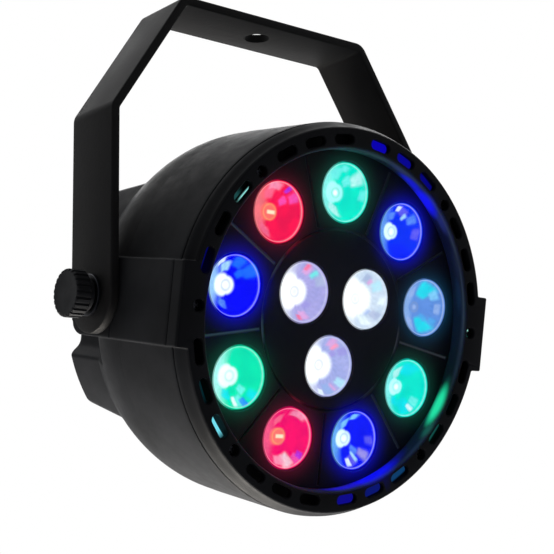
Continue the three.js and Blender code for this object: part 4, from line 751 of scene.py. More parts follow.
# %% Strip with round ends and soft edges
def strip_grid():
    """Half width w = sqrt(14^2 - d^2), where d is how far a point lies below the clamp axis. The section is a
    flat rectangle of that width whose corners are quarter circles of 0.7 mm."""
    line, out = bent_line()
    below = np.maximum(-line[:, 1] - AXIS_DROP, 0)
    drop = STRIP_HALF * np.sin(np.clip(below / STRIP_HALF, 0, 1) * np.pi / 2)
    line = np.stack([line[:, 0], np.where(below > 0, -AXIS_DROP - drop, line[:, 1])], -1)
    width = np.sqrt(np.maximum(STRIP_HALF**2 - drop**2, 0.09))
    half, edge, arc_points = STRIP_THICKNESS / 2, 0.7, 5
    turn = np.linspace(0, np.pi / 2, arc_points)
    lift = half - edge + edge * np.concatenate([np.sin(turn), np.cos(turn)])
    arc = edge * np.concatenate([np.cos(turn), -np.sin(turn)])
    depth, arc = np.concatenate([lift, -lift]), np.concatenate([arc, -arc])
    side = np.repeat([1, -1, -1, 1], arc_points)
    across = side * np.maximum(width[:, None] - edge, 0.05) + arc
    return capped(np.stack([line[:, :1] + out[:, :1] * depth, across, line[:, 1:] + out[:, 1:] * depth], -1))


HANGING_RADIUS, STUD_RADIUS = 5.2, 3.2
bracket = build("bracket_strip", [strip_grid()], row_place, smooth_degrees=30)
# A turned cutter lies along Y. Swapping y and z stands it upright.
upright = turned_y([(HANGING_RADIUS, -8), (HANGING_RADIUS, 4)], 48)[..., [0, 2, 1]]
studs = turned_x([(STUD_RADIUS, -90), (STUD_RADIUS, 90)], 32)
hanging_hole = build("hanging_hole", [capped(upright)], row_place)
cut(bracket, [hanging_hole, build("stud_holes", [capped(studs)], clamp_place)])
settle(bracket, "bracket", "powder_coat", "bracket")
print("bracket faces:", len(bracket.data.polygons))

# %% [markdown]
# ## Forms as depth
# The shells have a round shoulder, a box behind it, finger channels and flat clamp pads that run into
# each other with small radii. Each of these is easy as a depth: how far a point lies inside it. Two
# depths combine by taking the smaller where both must hold and the larger where either will do, and a
# rounded version of the two leaves a true radius on the edge or in the corner.

# %% Rounded depths and their reach
def both(a, b, radius):
    """Smaller of two depths, with the edge between them rounded: r - |(r - a, r - b)| close to it."""
    outside = np.hypot(np.maximum(radius - a, 0), np.maximum(radius - b, 0))
    return np.maximum(np.minimum(a, b), radius) - outside


def either(a, b, radius):
    """Larger of two depths, with the corner between them filled by the same radius."""
    return -both(-a, -b, radius)


def reach_of(depth, angle, y, near=5.0, far=95.0):
    """Where rays from the light's axis leave a form: the interval is halved 40 times for all rays at once."""
    angle, y = np.broadcast_arrays(np.asarray(angle, float), np.asarray(y, float))
    low, high = np.full(angle.shape, near), np.full(angle.shape, far)
    for _ in range(40):
        middle = (low + high) / 2
        inside = depth(middle * np.cos(angle), y, middle * np.sin(angle)) > 0
        low, high = np.where(inside, middle, low), np.where(inside, high, middle)
    return (low + high) / 2


print("corner of two faces 1 mm deep, radius 2:", round(float(both(1.0, 1.0, 2.0)), 3))

# %% Columns round a shell
FINE, COARSE = 0.25, 1.5  # degrees: fine where pads, channels and box edges cross the columns
spacing = [(0, 9.5, COARSE), (9.5, 23.5, FINE), (23.5, 36.5, COARSE), (36.5, 46, FINE), (46, 90, COARSE)]
quarter = np.radians(np.concatenate([np.arange(*stretch) for stretch in spacing]))
ROUND = np.concatenate([quarter, np.pi - quarter[::-1], np.pi + quarter, 2 * np.pi - quarter[::-1]])
ROUND = np.unique(np.round(ROUND % (2 * np.pi), 9))


def loops(rows, angle=ROUND):
    """Rows of (radius, y) become rings of points (r cos t, y, r sin t). A radius may differ for each column."""
    grid = []
    for radius, y in rows:
        radius, height = np.broadcast_to(radius, angle.shape), np.broadcast_to(float(y), angle.shape)
        grid.append(np.stack([radius * np.cos(angle), height, radius * np.sin(angle)], -1))
    return np.stack(grid)


def rounded_box_reach(half_x, half_z, radius, angle=ROUND, near=5.0, far=95.0):
    """Distance from the axis to the outline of a rectangle with round corners, in every column."""

    def depth(x, y, z):
        return both(half_x - np.abs(x), half_z - np.abs(z), radius)

    return reach_of(depth, angle, 0.0, near, far)


print("columns round a shell:", len(ROUND))

# %% [markdown]
# ## Painted light
# Light from the lenses also shows where no lens is: on the wall of the ring's opening and, through the
# slots, on the shell behind. Tracing it through twelve lenses would be slow. Instead a colour is worked out
# for each point of the mesh and kept as an attribute that the plastic gives off.

# %% Colours kept at points
def fade(value, start, end):
    """0 at start, 1 at end, with the smooth curve 3 s^2 - 2 s^3 between."""
    share = np.clip((value - start) / (end - start), 0, 1)
    return share * share * (3 - 2 * share)


def head_drawing(points):
    """Undoes head_place: from metres in place back to the head's own drawing in mm."""
    cos, sin = math.cos(TILT), math.sin(TILT)
    x, y, z = (np.asarray(points, float) / MM + [0, 0, AXIS_DROP]).T
    return np.stack([x, y * cos + z * sin, -y * sin + z * cos], -1)


def drawn(elements, name):
    """The place of all points ("co") or faces ("center") of a mesh, in the head's own drawing."""
    flat = np.empty(3 * len(elements))
    elements.foreach_get(name, flat)
    return head_drawing(flat.reshape(-1, 3))


def paint(mesh, name, tones):
    """Keeps one linear colour for each point."""
    layer = mesh.color_attributes.new(name, "FLOAT_COLOR", "POINT")
    with_alpha = np.concatenate([np.clip(tones, 0, None), np.ones((len(tones), 1))], 1)
    layer.data.foreach_set("color", with_alpha.ravel())


print("smooth curve a quarter of the way:", fade(0.25, 0, 1))


# %% Patches of glow
def painted_glow(piece, patches, shows):
    """Each point takes the brightest of the patches (angle, half angle, y, half height, colour), where each one
    fades with its elliptic distance from its middle. Only points where shows(radius, y) holds are lit."""
    x, y, z = drawn(piece.data.vertices, "co").T
    radius, angle = np.hypot(x, z), np.arctan2(z, x)
    tones = np.zeros((len(x), 3))
    for middle, half_angle, height, half_height, code in patches:
        turn = np.degrees(np.abs(np.angle(np.exp(1j * (angle - math.radians(middle))))))
        share = fade(1 - np.hypot(turn / half_angle, (y - height) / half_height), 0, 0.7)
        tones = np.maximum(tones, share[:, None] * linear(code)[None])
    tones = tones * shows(radius, y)[:, None]
    paint(piece.data, "glow", tones)
    return int((tones.sum(1) > 0).sum())


print("a patch at half its reach keeps", fade(0.5, 0, 0.7))


# %% [markdown]
# ## Front shell
# The drum behind the ring is one moulding with a flat clamp pad on each side. Seen along the axis it is
# star-shaped, so a ring of points for each step along Y describes the outside in one grid. The same grid
# turns in at the rear seam, runs forward along the bore and over the ledge, and closes on itself.

# %% Front shell
EAR_X, PAD_HALF = 75.3, 15.0
RING_FRONT, RING_BACK = -52.5, -46.5
DRUM_FRONT, SEAM_FRONT, SEAM_REAR = -46.2, -9.4, -9.1
DRUM_RADIUS, DRUM_TAPER = 74.0, 1.1
BORE, LEDGE, PLATE_SEAT = 70.6, 61.2, 64.3  # radii inside the drum
LEDGE_REAR, LEDGE_FRONT = -40.5, -42.9


def pad_depth(x, z):
    """A clamp pad or ear: a flat block up to x = 75.3 mm and 30 mm high, with edges of 0.7 mm."""
    return both(EAR_X - np.abs(x), PAD_HALF - np.abs(z), 0.7)


def drum_depth(x, y, z):
    """The drum tapers from radius 74 to 72.9, and the pads stand 1.3 mm or more beyond it."""
    drum = DRUM_RADIUS - DRUM_TAPER * (y - DRUM_FRONT) / (SEAM_FRONT - DRUM_FRONT) - np.hypot(x, z)
    return either(drum, pad_depth(x, z), 0.5)


def front_shell_rows():
    """Round front edge, outside, seam, then inside along the bore and over the ledge, and across the front."""
    edge = [(0.25, DRUM_FRONT), (0.08, -46.1), (0.0, -45.9)]
    rows = [(reach_of(drum_depth, ROUND, y) - inset, y) for inset, y in edge]
    rows += [(reach_of(drum_depth, ROUND, y), y) for y in np.linspace(-44.4, SEAM_FRONT - 0.15, 17)]
    rows += [(reach_of(drum_depth, ROUND, SEAM_FRONT) - 0.15, SEAM_FRONT)]
    inside = [(BORE, SEAM_FRONT), (BORE, LEDGE_REAR), (LEDGE, LEDGE_REAR), (LEDGE, LEDGE_FRONT)]
    inside += [(PLATE_SEAT, LEDGE_FRONT), (PLATE_SEAT, DRUM_FRONT)]
    across = [(r, DRUM_FRONT) for r in np.linspace(65.0, 73.0, 9)]
    return rows + inside + across


front_shell = build("front_shell_piece", [loops(front_shell_rows())], rings=True)
settle(front_shell, "head", "shell_plastic", "front_shell")
print("front shell faces:", len(front_shell.data.polygons))

# %% Light behind the slots
# Patches on the drum's front edge are (angle, half angle, y, half height, colour), in degrees and mm.
BEHIND_SLOTS = [
    (55, 7, -46.2, 1, "#05047a"), (66.5, 7.5, -46.2, 1, "#08068e"), (78.5, 8, -46.2, 1, "#0a02ae"),
    (144, 5, -46.2, 1, "#1c4a4a"), (164, 7, -46.2, 1, "#00025c"), (206, 6, -46.2, 1, "#02242a"),
    (219, 5.5, -46.2, 1, "#74e0f0"), (282, 8, -46.2, 1, "#0e0a88"), (293.5, 8, -46.2, 1, "#0a1670"),
    (305, 8, -46.2, 1, "#0e3c68"), (325, 8, -46.2, 1, "#10504a"), (336, 6, -46.2, 1, "#081a22"),
]
lit = painted_glow(front_shell, BEHIND_SLOTS, lambda radius, y: (radius > 64) & (radius < 71.2))
print("lit points behind the slots:", lit)

# %% [markdown]
# ## Rear shell
# The shoulder curves in over 19 mm and stops at a shelf, and a drafted box carries the rear panel. A
# channel beside each pad leaves room for fingers on the knobs. All of it is one depth, and rows lie only
# a tenth of a millimetre apart where the form steps.

# %% Form of the rear shell
SHELF, BACK, REAR_WALL = 14.5, 37.4, 2.4
SHOULDER, SHOULDER_CURVE, SHOULDER_STRAIGHT, SHOULDER_RUN = 72.6, 43.6, 4.4, 19.2
BOX_RADIUS = SHOULDER - SHOULDER_CURVE + math.sqrt(SHOULDER_CURVE**2 - SHOULDER_RUN**2)
BOX_HALF, BOX_DRAFT, BOX_FRONT = 47.2, 5.2, 12.1
CHANNEL_X, CHANNEL_HALF, CHANNEL_FLARE, CHANNEL_FRONT = 59.5, 19.0, 1.1, 8.5
PAD_CORNER, PAD_REAR = 8.0, 19.0


def shoulder_radius(y):
    """Straight for 4.4 mm, then a circle of radius 43.6 that starts in line with it."""
    along = np.clip(y - SEAM_REAR - SHOULDER_STRAIGHT, 0, SHOULDER_RUN)
    return SHOULDER - SHOULDER_CURVE + np.sqrt(SHOULDER_CURVE**2 - along**2)


def rear_depth(x, y, z, wall=0.0, edge=1.0):
    """Shoulder up to the shelf, or the drafted box up to the back, but never the channels. A wall moves all
    of them inwards."""
    radius = np.hypot(x, z)
    shoulder = both(shoulder_radius(y) - wall - radius, SHELF - wall - y, edge)
    height = BOX_HALF - BOX_DRAFT * (y - BOX_FRONT) / (BACK - BOX_FRONT)
    box = both(BOX_RADIUS - wall - radius, height - wall - np.abs(z), edge + 1)
    box = both(box, BACK - wall - y, 2.5)
    form = either(shoulder, box, 1.2)
    flare = CHANNEL_HALF + CHANNEL_FLARE * (np.abs(x) - CHANNEL_X) - np.abs(z)
    flare /= math.hypot(1, CHANNEL_FLARE)
    channel = both(both(np.abs(x) - CHANNEL_X + wall, flare + wall, 1.0), y - CHANNEL_FRONT + wall, 1.0)
    return both(form, -channel, 0.8)


def rear_outside(x, y, z):
    """The form with its pads, whose rear corners are rounded by 8 mm."""
    over_y, over_z = y - (PAD_REAR - PAD_CORNER), np.abs(z) - (PAD_HALF - PAD_CORNER)
    corner = PAD_CORNER - np.hypot(np.maximum(over_y, 0), np.maximum(over_z, 0))
    corner -= np.minimum(np.maximum(over_y, over_z), 0)
    pad = both(EAR_X - np.abs(x), corner, 0.7)
    return either(rear_depth(x, y, z), pad, 0.5)


print("radius of the box:", round(BOX_RADIUS, 2), "at the shelf:", round(float(shoulder_radius(SHELF)), 2))


# %% Rear shell
def rear_ys():
    """Places of the rows: a tenth of a millimetre apart at the steps, and along a quarter circle at the
    back."""
    runs = [(-8.95, 7.9, 22), (8.0, 9.4, 15), (9.8, 13.4, 9), (13.5, 15.9, 25)]
    runs += [(16.1, 17.8, 6), (17.9, 19.3, 15), (20.5, 34.6, 9)]
    flat = [np.linspace(*run) for run in runs]
    edge = BACK - 2.5 + 2.5 * np.sin(np.radians(np.arange(0, 90, 11.0)))
    return np.concatenate(flat + [edge, [BACK - 0.003]])


def rear_shell_rows():
    """The outside from seam to back, in over the panel's seat and lip, and forward along the inside."""
    rows = [(reach_of(rear_outside, ROUND, SEAM_REAR) - 0.15, SEAM_REAR)]
    rows += [(reach_of(rear_outside, ROUND, y), y) for y in rear_ys()]
    rim = reach_of(rear_outside, ROUND, BACK - 0.003)
    rows += [(rim, BACK)]
    seat, lip = rounded_box_reach(52.3, 33.3, 3.0), rounded_box_reach(46.0, 27.0, 1.0)
    rows += [(seat + 0.3, BACK), (seat, BACK - 0.3), (seat, 35.4), (lip, 35.4), (lip, 33.0)]
    frame_edge = rounded_box_reach(54.4, 35.4, 2.0)

    def inner(x, y, z):
        return rear_depth(x, y, z, REAR_WALL, 0.6)

    inner_ys = (34.95, 32.0, 25.0, 18.0, 13.0, 12.0, 9.0, 6.5, 5.5, 0.0, -6.9)
    rows += [(frame_edge, 33.0), (frame_edge, 34.9)] + [(reach_of(inner, ROUND, y), y) for y in inner_ys]
    rows += [(68.1, -6.9), (68.1, -12.7), (70.3, -12.7), (70.3, SEAM_REAR)]
    return rows


rear_shell = build("rear_shell_piece", [loops(rear_shell_rows())], rings=True, smooth_degrees=35)
settle(rear_shell, "head", "shell_plastic", "rear_shell")
print("rear shell faces:", len(rear_shell.data.polygons))

# %% [markdown]
# ## Front ring
# The ring is a thin moulding with two ears in line with the pads, twenty-four slots in eight groups and
# six sunk screws. Its turned section is a grid as before. The slots are cut with rounded prisms that
# widen at the surface, so each cut leaves the small chamfer that a mould needs.

# %% Form of the front ring
OPENING, WALL_BACK, OPENING_EDGE, RIM_EDGE = 63.6, 64.9, 1.25, 1.1


def ring_depth(x, y, z):
    """The rim flares from radius 72 to 73.8, almost level with the drum, in line with both at its ends."""
    rim = 72.0 + 1.8 * fade(y, -51.9, -46.8) - np.hypot(x, z)
    return either(rim, pad_depth(x, z), 0.5)


def ring_rows():
    """Up the wall of the opening, over its broad edge, across the face, round the rim and back inside."""
    rows = [(OPENING, y) for y in (-45.9, -46.9, -47.9, -48.9, -49.9)]
    for turn in np.radians(np.arange(10, 91, 16)):
        rows.append((OPENING + 0.1 + OPENING_EDGE * (1 - math.cos(turn)), -50.4 - 2.1 * math.sin(turn)))
    front = reach_of(ring_depth, ROUND, RING_FRONT)
    for turn in np.radians(range(0, 91, 15)):
        rows.append((front - RIM_EDGE * (1 - math.sin(turn)), RING_FRONT + RIM_EDGE * (1 - math.cos(turn))))
    rows += [(reach_of(ring_depth, ROUND, y), y) for y in np.linspace(-50.8, RING_BACK - 0.12, 7)]
    rows += [(reach_of(ring_depth, ROUND, RING_BACK) - 0.12, RING_BACK)]
    rows += [(71.4, RING_BACK), (70.4, -50.3)] + [(WALL_BACK, y) for y in (-50.3, -49.0, -47.7, -46.4)]
    return rows + [(64.2, -45.9)]


print("points in the ring's section:", len(ring_rows()))

# %% Slots and screw holes
SLOT_CIRCLE, SLOT_STRAIGHT, SLOT_RADIUS, SLOT_STEP = 67.3, 2.9, 1.9, 12
SLOT_GROUPS = (25.6, 70.2, 109.8, 154.4, 205.6, 250.2, 289.8, 334.4)
SCREW_ANGLES = (0, 47, 133, 180, 227, 313)


def stadium(half_length, radius, steps=10):
    """An outline with straight sides and round ends, long along z and centred on the slot circle."""
    turn = np.linspace(0, np.pi, steps + 1)
    top = np.stack([radius * np.cos(turn), half_length + radius * np.sin(turn)], -1)
    outline = np.concatenate([top, -top])
    return outline + [SLOT_CIRCLE, 0]


def turn_round(grid, degrees):
    """Turns a drawn grid round the light's axis, from +X towards +Z."""
    cos, sin = math.cos(math.radians(degrees)), math.sin(math.radians(degrees))
    x, y, z = np.moveaxis(np.asarray(grid, float), -1, 0)
    return np.stack([x * cos - z * sin, y, x * sin + z * cos], -1)


def on_circle(radius, degrees):
    """(r cos t, r sin t) for an angle in degrees."""
    return radius * math.cos(math.radians(degrees)), radius * math.sin(math.radians(degrees))


slot = extruded(stadium(SLOT_STRAIGHT, SLOT_RADIUS), [-56, RING_FRONT, -52.15, -49.8], [0.3, 0.3, 0, 0])
slot_angles = [group + step for group in SLOT_GROUPS for step in (-SLOT_STEP, 0, SLOT_STEP)]
SINK = [(2.55, -56), (2.55, RING_FRONT), (2.25, -52.2), (2.25, -49.8)]
sinks = [capped(turned_y(SINK, 36, *on_circle(SLOT_CIRCLE, a))) for a in SCREW_ANGLES]
front_ring = build("front_ring", [loops(ring_rows())], rings=True)
cut(front_ring, [build("slots", [turn_round(slot, a) for a in slot_angles] + sinks)])
print("ring faces:", len(front_ring.data.polygons), "slots:", len(slot_angles))

# %% Screw cups behind the ring
CUP = [(2.25, -50.6), (2.25, -48.7), (1.7, -48.7), (1.7, RING_BACK), (3.2, RING_BACK), (3.2, -50.6)]
cups = build("screw_cups", [turned_y(CUP, 40, *on_circle(SLOT_CIRCLE, a)) for a in SCREW_ANGLES], rings=True)
settle(cups, "head", "rim_plastic")
print("screw cup faces:", len(cups.data.polygons))

# %% Outer side of the ring in the drum's lighter finish, the rest in a darker painted-shade copy
settle(front_ring, "head", "rim_plastic", "front_bezel")
# The front and the wall keep the darker copy of the ABS, painted shade, and the outer side takes the drum's
# lighter one.
front_ring.data.materials.append(MATERIALS["shell_plastic"])
centre = drawn(front_ring.data.polygons, "center")
outer_side = (np.hypot(centre[:, 0], centre[:, 2]) > 71.2) & (centre[:, 1] > -52.3)
front_ring.data.polygons.foreach_set("material_index", outer_side.astype(np.int32))
print("faces with the drum's finish:", int(outer_side.sum()))

# %% Painted light on the wall of the opening, and a painted highlight along its edge
# Painted light from the lenses on the wall: (angle, half angle, y, half height, colour), in degrees and mm.
WALL_LIGHT_STREAKS = [
    (-80, 14, -48.8, 3.2, "#1410b8"), (-67, 16, -48.2, 4.8, "#0304e4"), (-57, 10, -47.6, 3.4, "#02025c"),
    (-38, 6, -50.4, 2.2, "#0a4a3c"), (-28, 11, -48.8, 3.4, "#20dca0"), (-21, 6, -49.0, 2.4, "#083c34"),
    (14, 9, -49.2, 2.2, "#061628"), (24, 9, -50.2, 2.0, "#0b1220"), (42, 7, -50.0, 2.6, "#182052"),
    (52, 10, -48.2, 4.4, "#0c08e6"), (61, 9, -48.6, 3.0, "#0b0dc0"), (70, 8, -50.2, 2.0, "#20264c"),
    (82, 12, -50.0, 1.6, "#203238"), (94, 12, -48.4, 2.2, "#12383a"), (140, 5.5, -49.0, 1.0, "#98f0ea"),
]
# A painted highlight: a thin pale line along the opening's edge, brighter from the right round to the top.
EDGE_HIGHLIGHT = [(angle, 40, -51.3, 1.1, "#141b26") for angle in range(0, 360, 36)]
EDGE_HIGHLIGHT += [(angle, 26, -51.2, 0.5, "#242c36") for angle in (10, 40, 70, 95)]


def on_the_wall(radius, y):
    """The wall and its edge. Of the wall's hidden back, only the line that shows in a slot is lit."""
    return (radius < 64.7) | ((radius < 65.0) & ((y < -50.4) | (np.abs(y + 49.0) < 0.2)))


print("lit points on the ring:", painted_glow(front_ring, WALL_LIGHT_STREAKS + EDGE_HIGHLIGHT, on_the_wall))

# %% [markdown]
# ## Lens plate
# A flat plate behind the ring holds nine lenses in a circle and three in the middle. V-shaped grooves
# part it into fields, with a round one about the middle disc. The disc is a turned grid, and joined
# cutters take out the chamfered lens openings and then the grooves.

# %% Lens plate
PLATE_FRONT, PLATE_REAR, LENS_FACE = -45.6, -43.2, -45.4
PLATE_RADIUS, INNER_CIRCLE, GROOVE_DEPTH = 64.0, 17.7, 0.6
LENS_PLACES = [on_circle(LENS_CIRCLE, 90 + 40 * i) for i in range(9)]
LENS_PLACES += [on_circle(INNER_CIRCLE, 30 + 120 * i) for i in range(3)]


def plate_disc():
    """A turned profile: out across the front, over an edge of 0.3 mm, and back across the rear."""
    radii = np.array([0.01, 12, 24, 34, 44, 54, 60, 63.7])
    profile = [(r, PLATE_FRONT) for r in radii]
    profile += [(PLATE_RADIUS, PLATE_FRONT + 0.3), (PLATE_RADIUS, PLATE_REAR)]
    profile += [(r, PLATE_REAR) for r in radii[::-1]]
    return capped(turned_y(profile, 144))


def groove_cutters():
    """Each groove is a V 1.3 mm wide and 0.6 mm deep, laid along a spoke between two lenses."""
    across, depth = np.array([[-1.3, 1.3, 0.08, -0.08], [-0.7, -0.7, GROOVE_DEPTH, GROOVE_DEPTH]])
    spoke = np.array([35.5, 48.0, 62.4])[:, None]
    grid = np.stack(np.broadcast_arrays(spoke, PLATE_FRONT + depth, across), -1)
    return [turn_round(capped(grid), 110 + 40 * k) for k in range(9)]


plate = build("lens_plate_piece", [plate_disc()])
hole = [(12.3, -48), (12.3, PLATE_FRONT - 0.05), (11.8, PLATE_FRONT + 0.45), (11.8, -42)]
openings = [capped(turned_y(hole, 72, x, z)) for x, z in LENS_PLACES]
disc_groove = [(32.8, -0.7), (35.4, -0.7), (34.18, GROOVE_DEPTH), (34.02, GROOVE_DEPTH)]
round_cutter = build("round_groove", [turned_y(np.add(disc_groove, [0, PLATE_FRONT]), 144)], rings=True)
cut(plate, [build("lens_openings", openings + groove_cutters()), round_cutter])
settle(plate, "head", "rim_plastic", "lens_plate", finish="plate_plastic")
print("plate faces:", len(plate.data.polygons))

# %% Light in the grooves
GROOVE_LIGHT = [
    (150, 12, -45.0, 0.3, "#2a313c"), (190, 12, -45.0, 0.3, "#283a44"), (350, 12, -45.0, 0.3, "#2c3036"),
    (310, 12, -45.0, 0.3, "#1a212a"), (60, 70, -45.0, 0.3, "#10151d"), (133, 9, -45.0, 0.3, "#58101c"),
    (245, 7, -45.0, 0.3, "#50101e"), (170, 20, -45.0, 0.3, "#0a0e3c"),
]
groove_floor = PLATE_FRONT + GROOVE_DEPTH
lit = painted_glow(plate, GROOVE_LIGHT, lambda radius, y: np.abs(y - groove_floor) < 0.05)
print("lit groove points:", lit)

# %% [markdown]
# ## Lit lenses
# Each lens is a clear collimator: light from one emitter fills a dish behind the face, so the eye sees the
# emitter deep inside, a pale glow about it and broken coloured patches near the edge. Tracing that glass
# would be slow and noisy. Here the dish is real and 6 mm deep, which gives the right shift when the view
# moves, and its light is worked out for each point of the dish and kept as a colour attribute.

# %% Tones of the facets
# The facets moulded in a collimator show its own light paler or darker, and some of the neighbours'.
TONES = {
    "white": "#eefcff",
    "frost": "#bcf6f2",
    "ice": "#b4e8f8",
    "powder": "#b0bcdc",
    "haze": "#98b4e8",
    "pale mint": "#70f0e8",
    "aqua": "#08e0ec",
    "light sky": "#84d0f8",
    "sky": "#50a8e8",
    "azure": "#1c74f8",
    "deep blue": "#0420f8",
    "cornflower": "#5c90f0",
    "indigo": "#6460ec",
    "wisteria": "#a098e0",
    "orchid": "#e4a8e0",
    "blush": "#ffd8e0",
    "rose": "#ff98b8",
    "coral": "#fc6c90",
    "magenta": "#f450b4",
    "violet": "#a030e4",
}
print("tones:", len(TONES))

# %% What the nine outer lenses show
# For each lens: deep tone, pale tone of its left side, glow about the emitter, the glow's reach in mm and how
# much further it reaches to the left, and the cosine at which the pale side begins. Then its patches, which
# are (angle, half angle, radius, half width, tone), with angles in degrees and radii in mm.
LOOKS = [
    ("#04e8cc", "#90f8ee", "#a2f6ec", 3.4, 0.8, 0.1, [
        (40, 16, 8.8, 2.0, "frost"), (52, 18, 5.8, 1.6, "pale mint"), (112, 22, 7.5, 2.2, "pale mint"),
        (-112, 24, 6.8, 2.2, "frost"), (0, 12, 9.8, 1.0, "pale mint"), (88, 12, 9.2, 1.0, "pale mint"),
    ]),
    ("#fc1050", "#fa7c84", "#f4665e", 2.6, 0.9, 0.2, [
        (46, 14, 5.8, 1.4, "magenta"), (38, 12, 9.0, 1.4, "magenta"), (112, 20, 6.8, 2.0, "coral"),
        (100, 20, 9.3, 1.2, "rose"), (-120, 22, 7.4, 2.0, "coral"), (62, 6, 9.2, 1.2, "violet"),
    ]),
    ("#0002fa", "#a8dcfa", "#f0fcff", 3.3, 0.9, 0.55, [
        (38, 16, 8.8, 2.2, "azure"), (75, 16, 8.2, 1.8, "azure"), (46, 14, 5.6, 1.4, "azure"),
        (112, 18, 6.6, 1.8, "ice"), (-112, 16, 6.5, 1.6, "cornflower"), (128, 12, 9.6, 1.0, "white"),
    ]),
    ("#02e7b4", "#b4fff8", "#e8fffc", 3.4, 0.9, 0.2, [
        (-46, 14, 5.7, 1.4, "pale mint"), (-75, 14, 8.4, 1.8, "pale mint"), (-64, 8, 9.2, 1.3, "azure"),
        (-38, 12, 9.1, 1.4, "aqua"), (-112, 18, 6.6, 1.8, "aqua"), (-88, 6, 8.4, 1.6, "white"),
    ]),
    ("#fb0a6c", "#fb5c8a", "#f66a62", 2.6, 0.8, 0.4, [
        (-78, 16, 8.4, 2.2, "blush"), (-52, 10, 9.2, 1.3, "magenta"), (-40, 7, 9.4, 1.0, "violet"),
        (-100, 18, 8.4, 1.6, "rose"), (60, 20, 9.8, 1.0, "rose"), (112, 18, 6.6, 1.6, "coral"),
    ]),
    ("#0414f4", "#6cb4f0", "#dcfaff", 2.9, 0.8, 0.2, [
        (-46, 12, 5.8, 1.6, "cornflower"), (-38, 12, 9.0, 1.8, "wisteria"), (-75, 14, 8.4, 1.8, "indigo"),
        (-90, 8, 9.0, 1.4, "white"), (0, 10, 9.4, 1.2, "indigo"), (112, 16, 6.4, 1.8, "light sky"),
        (85, 10, 9.0, 1.2, "light sky"), (-62, 5, 7.5, 1.8, "ice"),
    ]),
    ("#04e7d1", "#8cf6f0", "#b8fffc", 2.7, 0.8, 0.3, [
        (112, 20, 6.4, 2.2, "frost"), (70, 26, 8.2, 2.4, "aqua"), (-72, 26, 8.0, 2.6, "aqua"),
        (-38, 12, 9.0, 1.4, "pale mint"), (-112, 16, 6.4, 1.8, "aqua"), (-60, 6, 9.4, 1.2, "white"),
    ]),
    ("#6090de", "#8fb4ea", "#5f86c6", 2.2, 0.5, 0.1, [
        (72, 30, 7.8, 3.0, "aqua"), (-72, 28, 7.6, 3.0, "aqua"), (128, 16, 7.6, 2.2, "haze"),
        (-126, 16, 8.2, 2.0, "haze"), (-46, 14, 5.8, 1.6, "sky"), (38, 14, 9.1, 1.4, "light sky"),
        (0, 14, 9.6, 1.0, "haze"), (-38, 12, 9.1, 1.3, "sky"),
    ]),
    ("#0430f6", "#6aa6ee", "#dcfeff", 2.8, 0.8, 0.3, [
        (-75, 34, 8.4, 3.0, "deep blue"), (38, 12, 9.0, 1.6, "cornflower"), (0, 14, 9.6, 1.2, "indigo"),
        (75, 16, 8.6, 1.4, "indigo"), (112, 16, 6.8, 1.6, "cornflower"), (60, 6, 7.4, 1.2, "ice"),
        (95, 8, 9.4, 1.0, "white"),
    ]),
]
print("looks of outer lenses:", len(LOOKS))

# %% What the three inner lenses show
LOOKS += [
    ("#cfe0f2", "#f8fdff", "#ffffff", 6.2, 0.8, 0.0, [
        (-46, 14, 5.8, 1.6, "haze"), (-38, 12, 9.1, 1.6, "powder"), (75, 14, 8.4, 1.6, "powder"),
        (38, 14, 9.0, 1.6, "ice"), (-75, 16, 8.4, 1.8, "white"), (0, 10, 9.7, 1.0, "white"),
        (60, 6, 8.0, 1.0, "orchid"),
    ]),
    ("#aca8e4", "#eef2f6", "#fcffff", 4.9, 1.2, 0.0, [
        (75, 12, 8.4, 1.6, "orchid"), (80, 6, 9.2, 1.2, "coral"), (52, 8, 8.6, 1.4, "pale mint"),
        (-75, 12, 8.4, 1.5, "orchid"), (-46, 16, 5.6, 1.6, "wisteria"), (-90, 6, 9.0, 1.0, "coral"),
        (30, 12, 9.2, 1.4, "powder"),
    ]),
    ("#a9b0e8", "#f4f8fc", "#fcffff", 5.2, 1.2, 0.0, [
        (38, 10, 9.0, 1.6, "wisteria"), (62, 8, 7.8, 1.4, "rose"), (78, 12, 8.6, 1.6, "orchid"),
        (46, 12, 5.6, 1.5, "wisteria"), (-75, 16, 8.4, 1.8, "haze"), (-38, 10, 9.0, 1.5, "ice"),
        (-60, 5, 8.4, 1.4, "orchid"), (-100, 8, 9.4, 1.0, "white"),
    ]),
]
DASHES, DIM = {1, 4}, {7}  # lenses whose emitter shows as a dash, or hardly
DISH_RADIUS, DISH_DEPTH = 11.2, 6.0
print("lens looks:", len(LOOKS), "patches:", sum(len(look[-1]) for look in LOOKS))


# %% Light in the dish
def dish_light(radius, angle, number):
    """Colour of dish points: a deep tone, a pale glow about the emitter, patches, streaks and a bright edge."""
    deep, pale, glow, reach, lean, begin, patches = LOOKS[number]
    deep, pale, glow = linear(deep), linear(pale), 1.25 * linear(glow)
    away = np.maximum(0, -np.cos(angle))
    tone = deep + (0.9 * fade(away, begin, 1.0) * fade(radius, 1.0, 5.0))[:, None] * (pale - deep)
    winding = 23 * angle + 1.7 * number + 2.5 * np.sin(radius)
    ripple = 0.5 + 0.5 * np.sin(winding) * np.sin(1.9 * radius + number)
    tone = tone * (0.9 + 0.14 * ripple[:, None])
    for middle, half_angle, ring, half_width, name in patches:
        turn = np.degrees(np.angle(np.exp(1j * (angle - math.radians(middle)))))
        bend = ring + 0.6 * np.sin(np.radians(turn * 3 + 40 * number))
        amount = fade(1 - np.abs(turn) / (1.25 * half_angle), 0, 0.55) * (0.7 + 0.3 * ripple)
        amount *= fade(1 - np.abs(radius - bend) / (1.25 * half_width), 0, 0.5)
        tone = tone + amount[:, None] * (linear(TONES[name]) - tone)
    spread_to = reach * (1 + lean * away)
    halo = 1 - fade(radius, 0.78 * spread_to, 1.18 * spread_to)
    tone = tone + (halo * (0.88 + 0.12 * ripple))[:, None] * (glow - tone)
    line = fade(radius, 10.55, 10.8) * (1 - fade(radius, 10.95, 11.1))
    return tone + (0.28 * line)[:, None] * (1 - tone)


